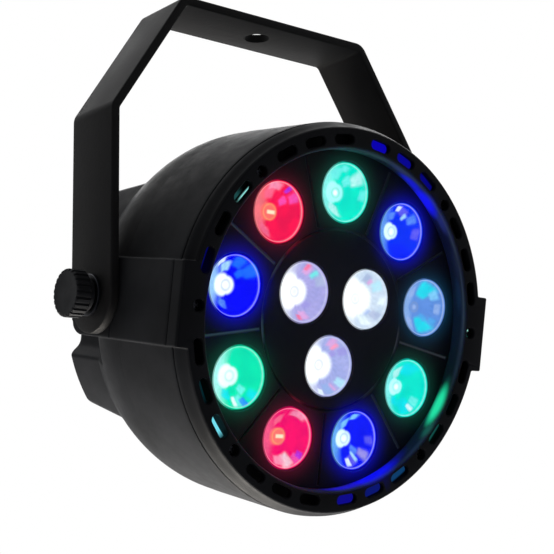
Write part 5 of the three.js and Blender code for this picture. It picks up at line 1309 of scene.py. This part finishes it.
def emitter_light(x, z, tone, number):
    """The emitter on the dish floor: a darker ring round a bright dot, or a warm ring round a short dash."""
    far = np.hypot(x, z)
    if number in DASHES:
        dash = (1 - fade(np.abs(x - 0.8), 1.2, 2.2)) * (1 - fade(np.abs(z), 0.35, 1.0))
        ring = fade(far, 2.2, 2.7) * (1 - fade(far, 2.9, 3.5))
        tone = tone + (0.5 * ring)[:, None] * (linear("#ffb070") - tone)
        return tone + dash[:, None] * (linear("#ffe9c4") - tone)
    ring = fade(far, 1.2, 1.6) * (1 - fade(far, 2.0, 2.6))
    dot = (1 - fade(far, 0.7, 1.3)) * (0.2 if number in DIM else 1.0)
    tone = tone + (0.38 * ring)[:, None] * (0.45 * linear(LOOKS[number][0]) + 0.2 - tone)
    return tone + dot[:, None] * (1 - tone)


print("dots:", len(LOOKS) - len(DASHES), "dashes:", len(DASHES))


# %% Twelve lenses
def lens_grids(x, z):
    """A cup whose inside is the dish, d = 6 (1 - (r / 11.2)^2) mm behind the face, and a thin clear face."""
    radius = np.concatenate([np.linspace(0.02, 3.6, 13), np.linspace(3.9, DISH_RADIUS, 25)])
    floor = LENS_FACE + 0.35 + DISH_DEPTH * (1 - (radius / DISH_RADIUS) ** 2)
    dish = list(zip(radius, floor))
    outside = [(11.38, LENS_FACE + 0.05), (LENS_RADIUS, LENS_FACE + 0.2), (LENS_RADIUS, LEDGE_FRONT)]
    outside += [(12.3, LEDGE_FRONT), (12.3, -41.5), (10.8, -41.5), (4.0, -33.6), (0.02, -33.6)]
    face = [(0.02, 0), (6.0, 0), (10.9, 0), (11.05, 0.1), (11.05, 0.3), (0.02, 0.3)]
    face = np.add(face, [0, LENS_FACE])
    return [capped(turned_y(dish + outside, 72, x, z)), capped(turned_y(face, 72, x, z))]


print("rows in a lens cup:", lens_grids(0, 0)[0].shape[0])


# %% A dish that gives off its painted light
def lit_dish(name):
    """Polished and black by itself, so that all that shows is the painted colour."""
    material, tree, mm = start_material(name)
    haze = add(tree, "TexNoise", {"Vector": mm, "Scale": 1 / 0.9, "Detail": 3, "Roughness": 0.6})
    drift = add(tree, "MapRange", {"Value": haze, **MIDDLE})
    tones = {0: drift, 6: colour("#020203"), 7: colour("#060608")}
    inputs = {
        "Base Color": add(tree, "Mix", tones, data_type="RGBA").outputs[2],
        "Roughness": add(tree, "MapRange", {"Value": haze, **MIDDLE, "To Min": 0.12, "To Max": 0.25}),
        "Specular IOR Level": 0.0,
        "Emission Color": add(tree, "Attribute", attribute_name="light").outputs["Color"],
        "Emission Strength": 1.1,
    }
    add(tree, "OutputMaterial", {"Surface": add(tree, "BsdfPrincipled", inputs)})
    return material


dish_material = lit_dish("lit_lens_dish")
print("dish:", dish_material.name)

# %% Twelve lit lenses
for number, (x, z) in enumerate(LENS_PLACES):
    node = f"lens_{number + 1:02d}"
    lens = build(node + "_piece", lens_grids(x, z), smooth_degrees=50)
    lens.data.materials.append(dish_material)
    settle(lens, "head", "acrylic", node)
    off_x, y, off_z = (drawn(lens.data.vertices, "co") - [x, 0, z]).T
    radius = np.hypot(off_x, off_z)
    tones = emitter_light(off_x, off_z, dish_light(radius, np.arctan2(off_z, off_x), number), number)
    in_dish = (radius < DISH_RADIUS + 0.01) & (y < -38.5)
    # Outside the dish, the cup and its flange give off 0.4 of that light: painted glow in the gap round the
    # lens.
    paint(lens.data, "light", np.where(in_dish[:, None], tones, 0.4 * tones))
    centre = drawn(lens.data.polygons, "center") - [x, 0, z]
    is_face = (centre[:, 1] < LENS_FACE + 0.32) & (np.hypot(centre[:, 0], centre[:, 2]) < 11.07)
    lens.data.polygons.foreach_set("material_index", is_face.astype(np.int32))
print("lenses:", len(LENS_PLACES), "points each:", len(lens.data.vertices))

# %% [markdown]
# ## Light that spills from the lenses
# The twelve beams leave the faces straight, but dust and the lens edges scatter a little sideways, which
# paints coloured halos on the plate and streaks on the wall round it. A small lamp a few millimetres in
# front of each face does the same. The eye and mirrors don't see these lamps.

# %% Spill lamps
# Colour and power in watts for each lens. The three white ones and the dim one give little.
SPILL = [
    ("#00ffc0", 0.04), ("#ff0030", 0.05), ("#0010ff", 0.1), ("#00ff90", 0.05), ("#ff0048", 0.05),
    ("#0010ff", 0.1), ("#00ffa0", 0.03), ("#30a0ff", 0.012), ("#0010ff", 0.06), ("#e8e8ff", 0.01),
    ("#e8e8ff", 0.01), ("#e8e8ff", 0.01),
]
for number, ((x, z), (tone, power)) in enumerate(zip(LENS_PLACES, SPILL)):
    data = bpy.data.lights.new(f"spill_{number + 1:02d}", "POINT")
    data.energy = power
    data.color = linear(tone)
    data.shadow_soft_size = 0.003
    glow_lamp = bpy.data.objects.new(data.name, data)
    bpy.context.scene.collection.objects.link(glow_lamp)
    glow_lamp.location = (head_place([x, LENS_FACE - 2.5, z]) * MM).tolist()
    glow_lamp.visible_camera = False
    glow_lamp.visible_glossy = False
    glow_lamp.parent = frame["bodies"]["head"]
print("spill power, W:", round(sum(power for _, power in SPILL), 3))

# %% [markdown]
# ## Clamp knobs
# A knob is moulded over the head of its stud, with twenty-four narrow valleys for grip and a slightly
# dished face. Its grid is a turned profile whose radius dips at each valley, but only along the grip, so
# the face and the neck stay round.

# %% Knob surface
RIBS, COLUMNS_PER_RIB, VALLEY_DEPTH = 24, 12, 0.55
KNOB_RADIUS, KNOB_EDGE, EDGE_FRONT, EDGE_BACK = 8.9, 0.8, 88.9, 84.3


def knob_grid():
    """r = p - 0.55 valley(angle) outer(p) for the profile's radius p. Valley runs smoothly from 0 on a crest
    to 1, and outer from 0 at p = 8 to 1 at p = 8.5, so only the rim has ribs."""
    face = [(0.02, 89.35), (4.5, 89.4), (6.9, 89.5)]
    arc = [(math.sin(a), math.cos(a)) for a in np.radians(np.arange(0, 91, 15))]
    middle = KNOB_RADIUS - KNOB_EDGE
    edge = [(middle + KNOB_EDGE * sin, EDGE_FRONT + KNOB_EDGE * cos) for sin, cos in arc]
    grip = [(KNOB_RADIUS, x) for x in np.linspace(88.4, 84.8, 6)]
    back = [(middle + KNOB_EDGE * cos, EDGE_BACK - KNOB_EDGE * sin) for sin, cos in arc]
    neck = [(6.7, 83.5), (6.4, 83.2), (6.4, 81.1), (6.2, 80.9)]
    stud_hole = [(STUD_RADIUS, 80.9), (STUD_RADIUS, 86.2), (0.02, 86.2)]
    profile = np.array(face + edge + grip + back + neck + stud_hole)
    share = np.arange(RIBS * COLUMNS_PER_RIB) / COLUMNS_PER_RIB % 1
    angle = np.arange(RIBS * COLUMNS_PER_RIB) * 2 * np.pi / (RIBS * COLUMNS_PER_RIB)
    valley = fade(share, 0.5, 0.64) * (1 - fade(share, 0.86, 1.0))
    radius = profile[:, :1] - VALLEY_DEPTH * fade(profile[:, :1], 8.0, 8.5) * valley
    x = np.broadcast_to(profile[:, 1:], radius.shape)
    return capped(np.stack([x, radius * np.cos(angle), radius * np.sin(angle)], -1))


print("knob grid:", knob_grid().shape)

# %% Two knobs and their washers
WASHER = [(STUD_RADIUS, 79.4), (7.6, 79.4), (7.8, 79.55), (7.8, 80.45), (7.6, 80.6), (STUD_RADIUS, 80.6)]
for side, name in ((1, "right"), (-1, "left")):
    knob = build(f"knob_{name}_piece", [knob_grid() * [side, side, 1]], clamp_place)
    settle(knob, f"knob_{name}", "knob_plastic", f"knob_{name}")
    washer = build(f"washer_{name}_piece", [turned_x(WASHER, 64) * [side, side, 1]], clamp_place, rings=True)
    settle(washer, "bracket", "steel", f"washer_{name}", finish="black_steel")
print("knob faces:", len(knob.data.polygons), "washer faces:", len(washer.data.polygons))

# %% [markdown]
# ## Screws
# Six blackened screws sit deep in the ring and four zinc plated ones hold the rear panel. A screw is a
# turned profile with a low dome, and a cross with tapering walls is cut into it. The crosses stand at
# different angles, as screws do when they are tightened by hand.

# %% One screw
def cross_outline(long, narrow):
    """Twelve corners of a plus sign: three for a quarter, turned four times."""
    quarter_turn = np.array([[long, -narrow], [long, narrow], [narrow, narrow]])
    turn = [np.array([[c, -s], [s, c]]) for c, s in ((1, 0), (0, 1), (-1, 0), (0, -1))]
    return np.concatenate([quarter_turn @ matrix.T for matrix in turn])


def screw_piece(node, radius, top, seat, tip, place, degrees, finish):
    """Dome from (0, top) down to the seat, then the shank to the tip, all as y. A head that points forward has
    its tip at a larger y, and side turns the same profile round for one that points back."""
    side = 1 if tip > seat else -1
    dome = [(0.02, 0.0), (0.4 * radius, 0.06), (0.75 * radius, 0.22), (0.94 * radius, 0.55), (radius, 0.9)]
    profile = [(r, top + side * drop) for r, drop in dome]
    profile += [(radius, seat), (1.45, seat), (1.45, tip - side * 1.2), (0.5, tip), (0.02, tip)]
    piece = build(node + "_piece", [capped(turned_y(profile, 36, *place))])
    low, high = sorted((top - side * 0.5, top + side * 0.85))
    widening = (0.12, 0.0) if side > 0 else (0.0, 0.12)
    cross = extruded(cross_outline(0.62 * radius, 0.17 * radius), [low, high], widening)
    cut(piece, [build("cross", [turn_round(cross, degrees) + [place[0], 0, place[1]]])])
    return settle(piece, "head", "steel", node, finish=finish)


print("corners of a cross:", len(cross_outline(1, 0.3)))

# %% Ten screws
RIM_TURNS, PANEL_TURNS = (12, 71, 38, 5, 54, 27), (80, 33, 61, 18)
RIM_SCREW, PANEL_SCREW = (2.05, -50.6, -48.9, -39.4), (2.8, 39.5, 37.5, 28.0)  # radius, top, seat, tip
PANEL_SCREWS = [(x, z) for z in (-29.8, 29.8) for x in (-48.8, 48.8)]
rim_screws = [
    screw_piece(f"rim_screw_{i + 1}", *RIM_SCREW, on_circle(SLOT_CIRCLE, angle), turn, "black_steel")
    for i, (angle, turn) in enumerate(zip(SCREW_ANGLES, RIM_TURNS))
]
for i, (place, turn) in enumerate(zip(PANEL_SCREWS, PANEL_TURNS)):
    screw_piece(f"panel_screw_{i + 1}", *PANEL_SCREW, place, turn, "steel")
print("screws:", len(rim_screws) + len(PANEL_SCREWS))

# %% Glint on the first screw
# The nearest lens shows on its head as two short dashes: (angle, half angle, y, half height, colour).
GLINT = [(0.75, 0.9, -50.5, 1.2, "#b4fff0"), (-0.9, 0.7, -50.5, 1.2, "#2c8c80")]
print("glinting points:", painted_glow(rim_screws[0], GLINT, lambda radius, y: radius < SLOT_CIRCLE + 0.3))

# %% [markdown]
# ## Rear panel
# The panel is a powder coated sheet with round corners, sunk 0.2 mm into the rear frame, with four posts
# for the board behind. It is drawn as a rounded prism, and joined cutters punch the openings, each with
# its real radius.

# %% Places on the panel
PANEL_IN, PANEL_OUT = 35.7, 37.2
SOCKET_X, SOCKET_Z, LATCH_Z, INLET_Z = 32.0, -13.0, -3.4, -16.0
DISPLAY_Z, MICROPHONE_X, BUTTON_Z = 17.0, 37.0, 2.0
BUTTON_X = (-13.5, -4.5, 4.5, 13.5)


def punch(outline):
    """A cutter through the sheet that widens by 0.15 mm at the outer face."""
    return extruded(outline, [PANEL_IN - 1, PANEL_OUT - 0.15, PANEL_OUT, PANEL_OUT + 1], [0, 0, 0.15, 0.15])


def circle(radius, x, z, steps=48):
    """Points (x + r cos t, z + r sin t)."""
    turn = np.arange(steps) * 2 * np.pi / steps
    return np.stack([x + radius * np.cos(turn), z + radius * np.sin(turn)], -1)


print("panel thickness, mm:", round(PANEL_OUT - PANEL_IN, 2))

# %% Panel and posts
sheet = extruded(rounded_outline(52, 33, 3), [PANEL_IN, PANEL_OUT - 0.3, PANEL_OUT], [0, 0, -0.3])
panel = build("rear_panel_piece", [sheet])
outlines = [rounded_outline(15.3, 6.3, 0.8, 0, DISPLAY_Z), rounded_outline(13.8, 10.0, 1.0, 0, INLET_Z)]
outlines += [circle(9.8, side * SOCKET_X, SOCKET_Z, 72) for side in (-1, 1)]
outlines += [circle(3.3, MICROPHONE_X, DISPLAY_Z)] + [circle(3.1, x, BUTTON_Z) for x in BUTTON_X]
outlines += [circle(1.75, x, z, 24) for x, z in PANEL_SCREWS]
latch_opening = punch(rounded_outline(3.6, 6.0, 0.4, SOCKET_X, -8.0))
punches = [punch(outline) for outline in outlines]
cut(panel, [build("punches", punches), build("latch_opening", [latch_opening])])
settle(panel, "head", "powder_coat", "rear_panel")

post = [(2.2, 27.4), (2.2, PANEL_IN + 0.1)]
posts = build("panel_posts", [capped(turned_y(post, 24, x, z)) for x in (-26.5, 26.5) for z in (2.5, 22.5)])
settle(posts, "head", "steel")
print("panel faces:", len(panel.data.polygons), "punched:", len(outlines) + 1)

# %% [markdown]
# ## Display, buttons and microphone
# A tinted window stands slightly proud of the panel, with four digits dark behind it. The buttons are
# domed silicone caps on flanges, which keep them in, and a small metal capsule hears the music.

# %% Display
def slab(name, half_x, half_z, radius, z, depths, x=0.0):
    """A rounded rectangle given at several depths (y, growth of the outline there)."""
    ys, offsets = zip(*depths)
    return build(name, [extruded(rounded_outline(half_x, half_z, radius, x, z), ys, offsets)])


pane = [(34.4, 1.5), (34.5, 1.6), (35.3, 1.6), (35.4, 1.5), (35.41, 0), (37.2, 0), (37.5, -0.3)]
window = slab("display_window_piece", 15, 6, 0.6, DISPLAY_Z, pane)
settle(window, "head", "window", "display_window")
digits = slab("display_module_piece", 15, 7, 0.4, DISPLAY_Z, [(27.4, -0.1), (27.5, 0), (33.9, 0), (34.1, -0.2)])
settle(digits, "head", "display", "display_module")
print("window faces:", len(window.data.polygons))

# %% Buttons
button = [(0.02, 39.0), (1.2, 38.95), (2.0, 38.82), (2.5, 38.6), (2.75, 38.25), (2.8, 37.8), (2.8, 35.4)]
button += [(3.6, 35.4), (3.7, 35.3), (3.7, 34.4), (3.6, 34.3), (1.4, 34.3), (1.4, 30.8), (0.02, 30.8)]
for number, x in enumerate(BUTTON_X):
    node = f"button_{number + 1}"
    cap = build(node + "_piece", [capped(turned_y(button, 40, x, BUTTON_Z))])
    settle(cap, node, "rubber", node)
print("buttons:", len(BUTTON_X))

# %% Microphone
capsule = [(0.02, 36.75), (2.3, 36.75), (2.35, 37.05), (2.5, 37.2), (2.85, 37.2), (3.0, 37.05), (3.0, 35.4)]
capsule += [(4.6, 35.4), (4.8, 35.2), (4.8, 29.6), (4.6, 29.4), (0.02, 29.4)]
microphone = build("microphone_piece", [capped(turned_y(capsule, 44, MICROPHONE_X, DISPLAY_Z))])
around = [on_circle(1.35, degrees) for degrees in range(0, 360, 60)] + [(0, 0)]
sound_holes = [circle(0.32, MICROPHONE_X + x, DISPLAY_Z + z, 12) for x, z in around]
cut(microphone, [build("sound_holes", [extruded(hole, [36.2, 38]) for hole in sound_holes])])
settle(microphone, "head", "pin_metal", "microphone")
print("sound holes:", len(sound_holes))

# %% [markdown]
# ## Signal sockets
# Two round three-pole sockets pass the control signal in and out. A socket is one closed grid: rings about
# its own axis go from the middle of the floor out to the bore, over the flange, whose outline is a rounded
# square, and back along the body. The inlet's outline can be reached from its middle in the same way.

# %% Socket bodies
ABOUT_SOCKET = (0.5, 40.0)  # mm between which the reach of a socket's outline is looked for


def socket_grid(x):
    """From the floor up the bore of radius 7.8, over a flange 24 mm square, and back along a body of 9.5."""
    angle = (np.arange(96) + 0.5) * 2 * np.pi / 96
    wide = rounded_box_reach(12.0, 12.0, 3.0, angle, *ABOUT_SOCKET)
    narrow = rounded_box_reach(11.6, 11.6, 2.7, angle, *ABOUT_SOCKET)
    rows = [(0.02, 21.7), (7.8, 21.7), (7.8, 38.7), (8.2, 39.1), (narrow, 39.1), (wide, 38.75), (wide, 37.5)]
    rows += [(9.5, 37.5), (9.5, 20.3), (9.3, 20.1), (0.02, 20.1)]
    return capped(loops(rows, angle) + [x, 0, SOCKET_Z])


socket_in = build("signal_in_socket_piece", [socket_grid(-SOCKET_X)])
socket_out = build("signal_out_socket_piece", [socket_grid(SOCKET_X)])
latch_slot = extruded(rounded_outline(3.3, 1.65, 0.3, SOCKET_X, LATCH_Z), [30.8, 41])
cut(socket_out, [build("latch_slot", [latch_slot])])
settle(socket_in, "head", "socket_plastic", "signal_in_socket")
settle(socket_out, "head", "socket_plastic", "signal_out_socket")
print("socket faces:", len(socket_in.data.polygons), len(socket_out.data.polygons))

# %% Pins, contacts and latch
PINS = [on_circle(4.6, angle) for angle in (-90, 30, 150)]
pin = [(0.02, 35.5), (0.55, 35.35), (0.95, 34.9), (1.2, 34.2), (1.2, 22.2), (0.02, 22.2)]
pins = build("signal_in_pins_piece", [capped(turned_y(pin, 24, x - SOCKET_X, z + SOCKET_Z)) for x, z in PINS])
settle(pins, "head", "pin_metal", "signal_in_pins")

foot = [(7.3, 22.0), (7.45, 22.15)]
low_block = capped(turned_y(foot + [(7.45, 24.8), (7.25, 25.0)], 48, -SOCKET_X, SOCKET_Z))
settle(build("signal_in_insulator", [low_block]), "head", "socket_plastic")
contacts = capped(turned_y(foot + [(7.45, 37.7), (7.1, 38.1)], 48, SOCKET_X, SOCKET_Z))
contacts = build("signal_out_contacts_piece", [contacts])
wells = [circle(1.4, x + SOCKET_X, z + SOCKET_Z, 24) for x, z in PINS]
wells = [extruded(outline, [27.6, 37.85, 38.1, 39], [0, 0, 0.25, 0.25]) for outline in wells]
cut(contacts, [build("pin_wells", wells)])
settle(contacts, "head", "socket_plastic", "signal_out_contacts")

tab = [(32.1, -0.2), (32.3, 0), (39.9, 0), (40.3, -0.15), (40.6, -0.5)]
settle(slab("latch_tab", 3, 1.2, 0.5, LATCH_Z, tab, SOCKET_X), "latch", "steel", "signal_out_latch")

# %% [markdown]
# ## Mains inlet
# The inlet takes a plug with two cut corners, so it fits one way only. Its outline isn't round, but every
# point of it can still be reached from the middle in a straight line, so rings work here too. Three flat
# blades stand on the floor.

# %% Mains inlet
INLET_HALF_X, INLET_HALF_Z, CUT_CORNER = 13.5, 9.7, 4.5


def inlet_reach(grow, radius, angle, corner=0.0):
    """A rectangle 27 by 19.4 mm, grown by an offset. A corner length cuts its lower corners at 45 degrees,
    where the depth is (width + height - corner + grow sqrt 2 - |x| + z) / sqrt 2."""

    def depth(x, y, z):
        box = both(INLET_HALF_X + grow - np.abs(x), INLET_HALF_Z + grow - np.abs(z), radius)
        slant = INLET_HALF_X + INLET_HALF_Z - corner + grow * math.sqrt(2) - np.abs(x) + z
        return both(box, slant / math.sqrt(2), radius) if corner else box

    return reach_of(depth, angle, 0.0, *ABOUT_SOCKET)


steps = np.linspace(0, 2 * np.pi, 180, endpoint=False) + 0.003
plug_way, wall = inlet_reach(-1.5, 0.6, steps, CUT_CORNER), inlet_reach(0, 1.0, steps)
mouth, edge = inlet_reach(-1.1, 0.6, steps, CUT_CORNER), inlet_reach(1.4, 2.0, steps)
edge_low = inlet_reach(1.05, 1.8, steps)
rows = [(0.02, 22.3), (plug_way, 22.3), (plug_way, 38.9), (mouth, 39.3), (edge_low, 39.3), (edge, 38.9)]
rows += [(edge, 37.5), (wall, 37.5), (wall, 19.5), (wall - 0.2, 19.3), (0.02, 19.3)]
inlet = build("power_inlet_piece", [capped(loops(rows, steps) + [0, 0, INLET_Z])])
settle(inlet, "head", "socket_plastic", "power_inlet")
print("inlet faces:", len(inlet.data.polygons))

# %% Blades
blade_outlines = [rounded_outline(1, 2, 0.3, x, z + INLET_Z) for x, z in ((-7, -2), (0, 2), (7, -2))]
blades = [extruded(outline, [22.0, 33.6, 34.3], [0, 0, -0.55]) for outline in blade_outlines]
blades = build("inlet_blades", blades)
settle(blades, "head", "pin_metal")
print("blade faces:", len(blades.data.polygons))

# %% [markdown]
# ## Inner parts
# What the shells hide still gets its real finish, because the part may be opened or moved. The packed
# solids are right as they are here, so only their materials change.

# %% Dress the inner solids
dressed = 0
for node, packed in frame["nodes"].items():
    for slot in packed.material_slots:
        if slot.material is not None and slot.material.name in MATERIALS:
            slot.material = MATERIALS[slot.material.name]
            dressed += 1
print("dressed solids:", dressed)
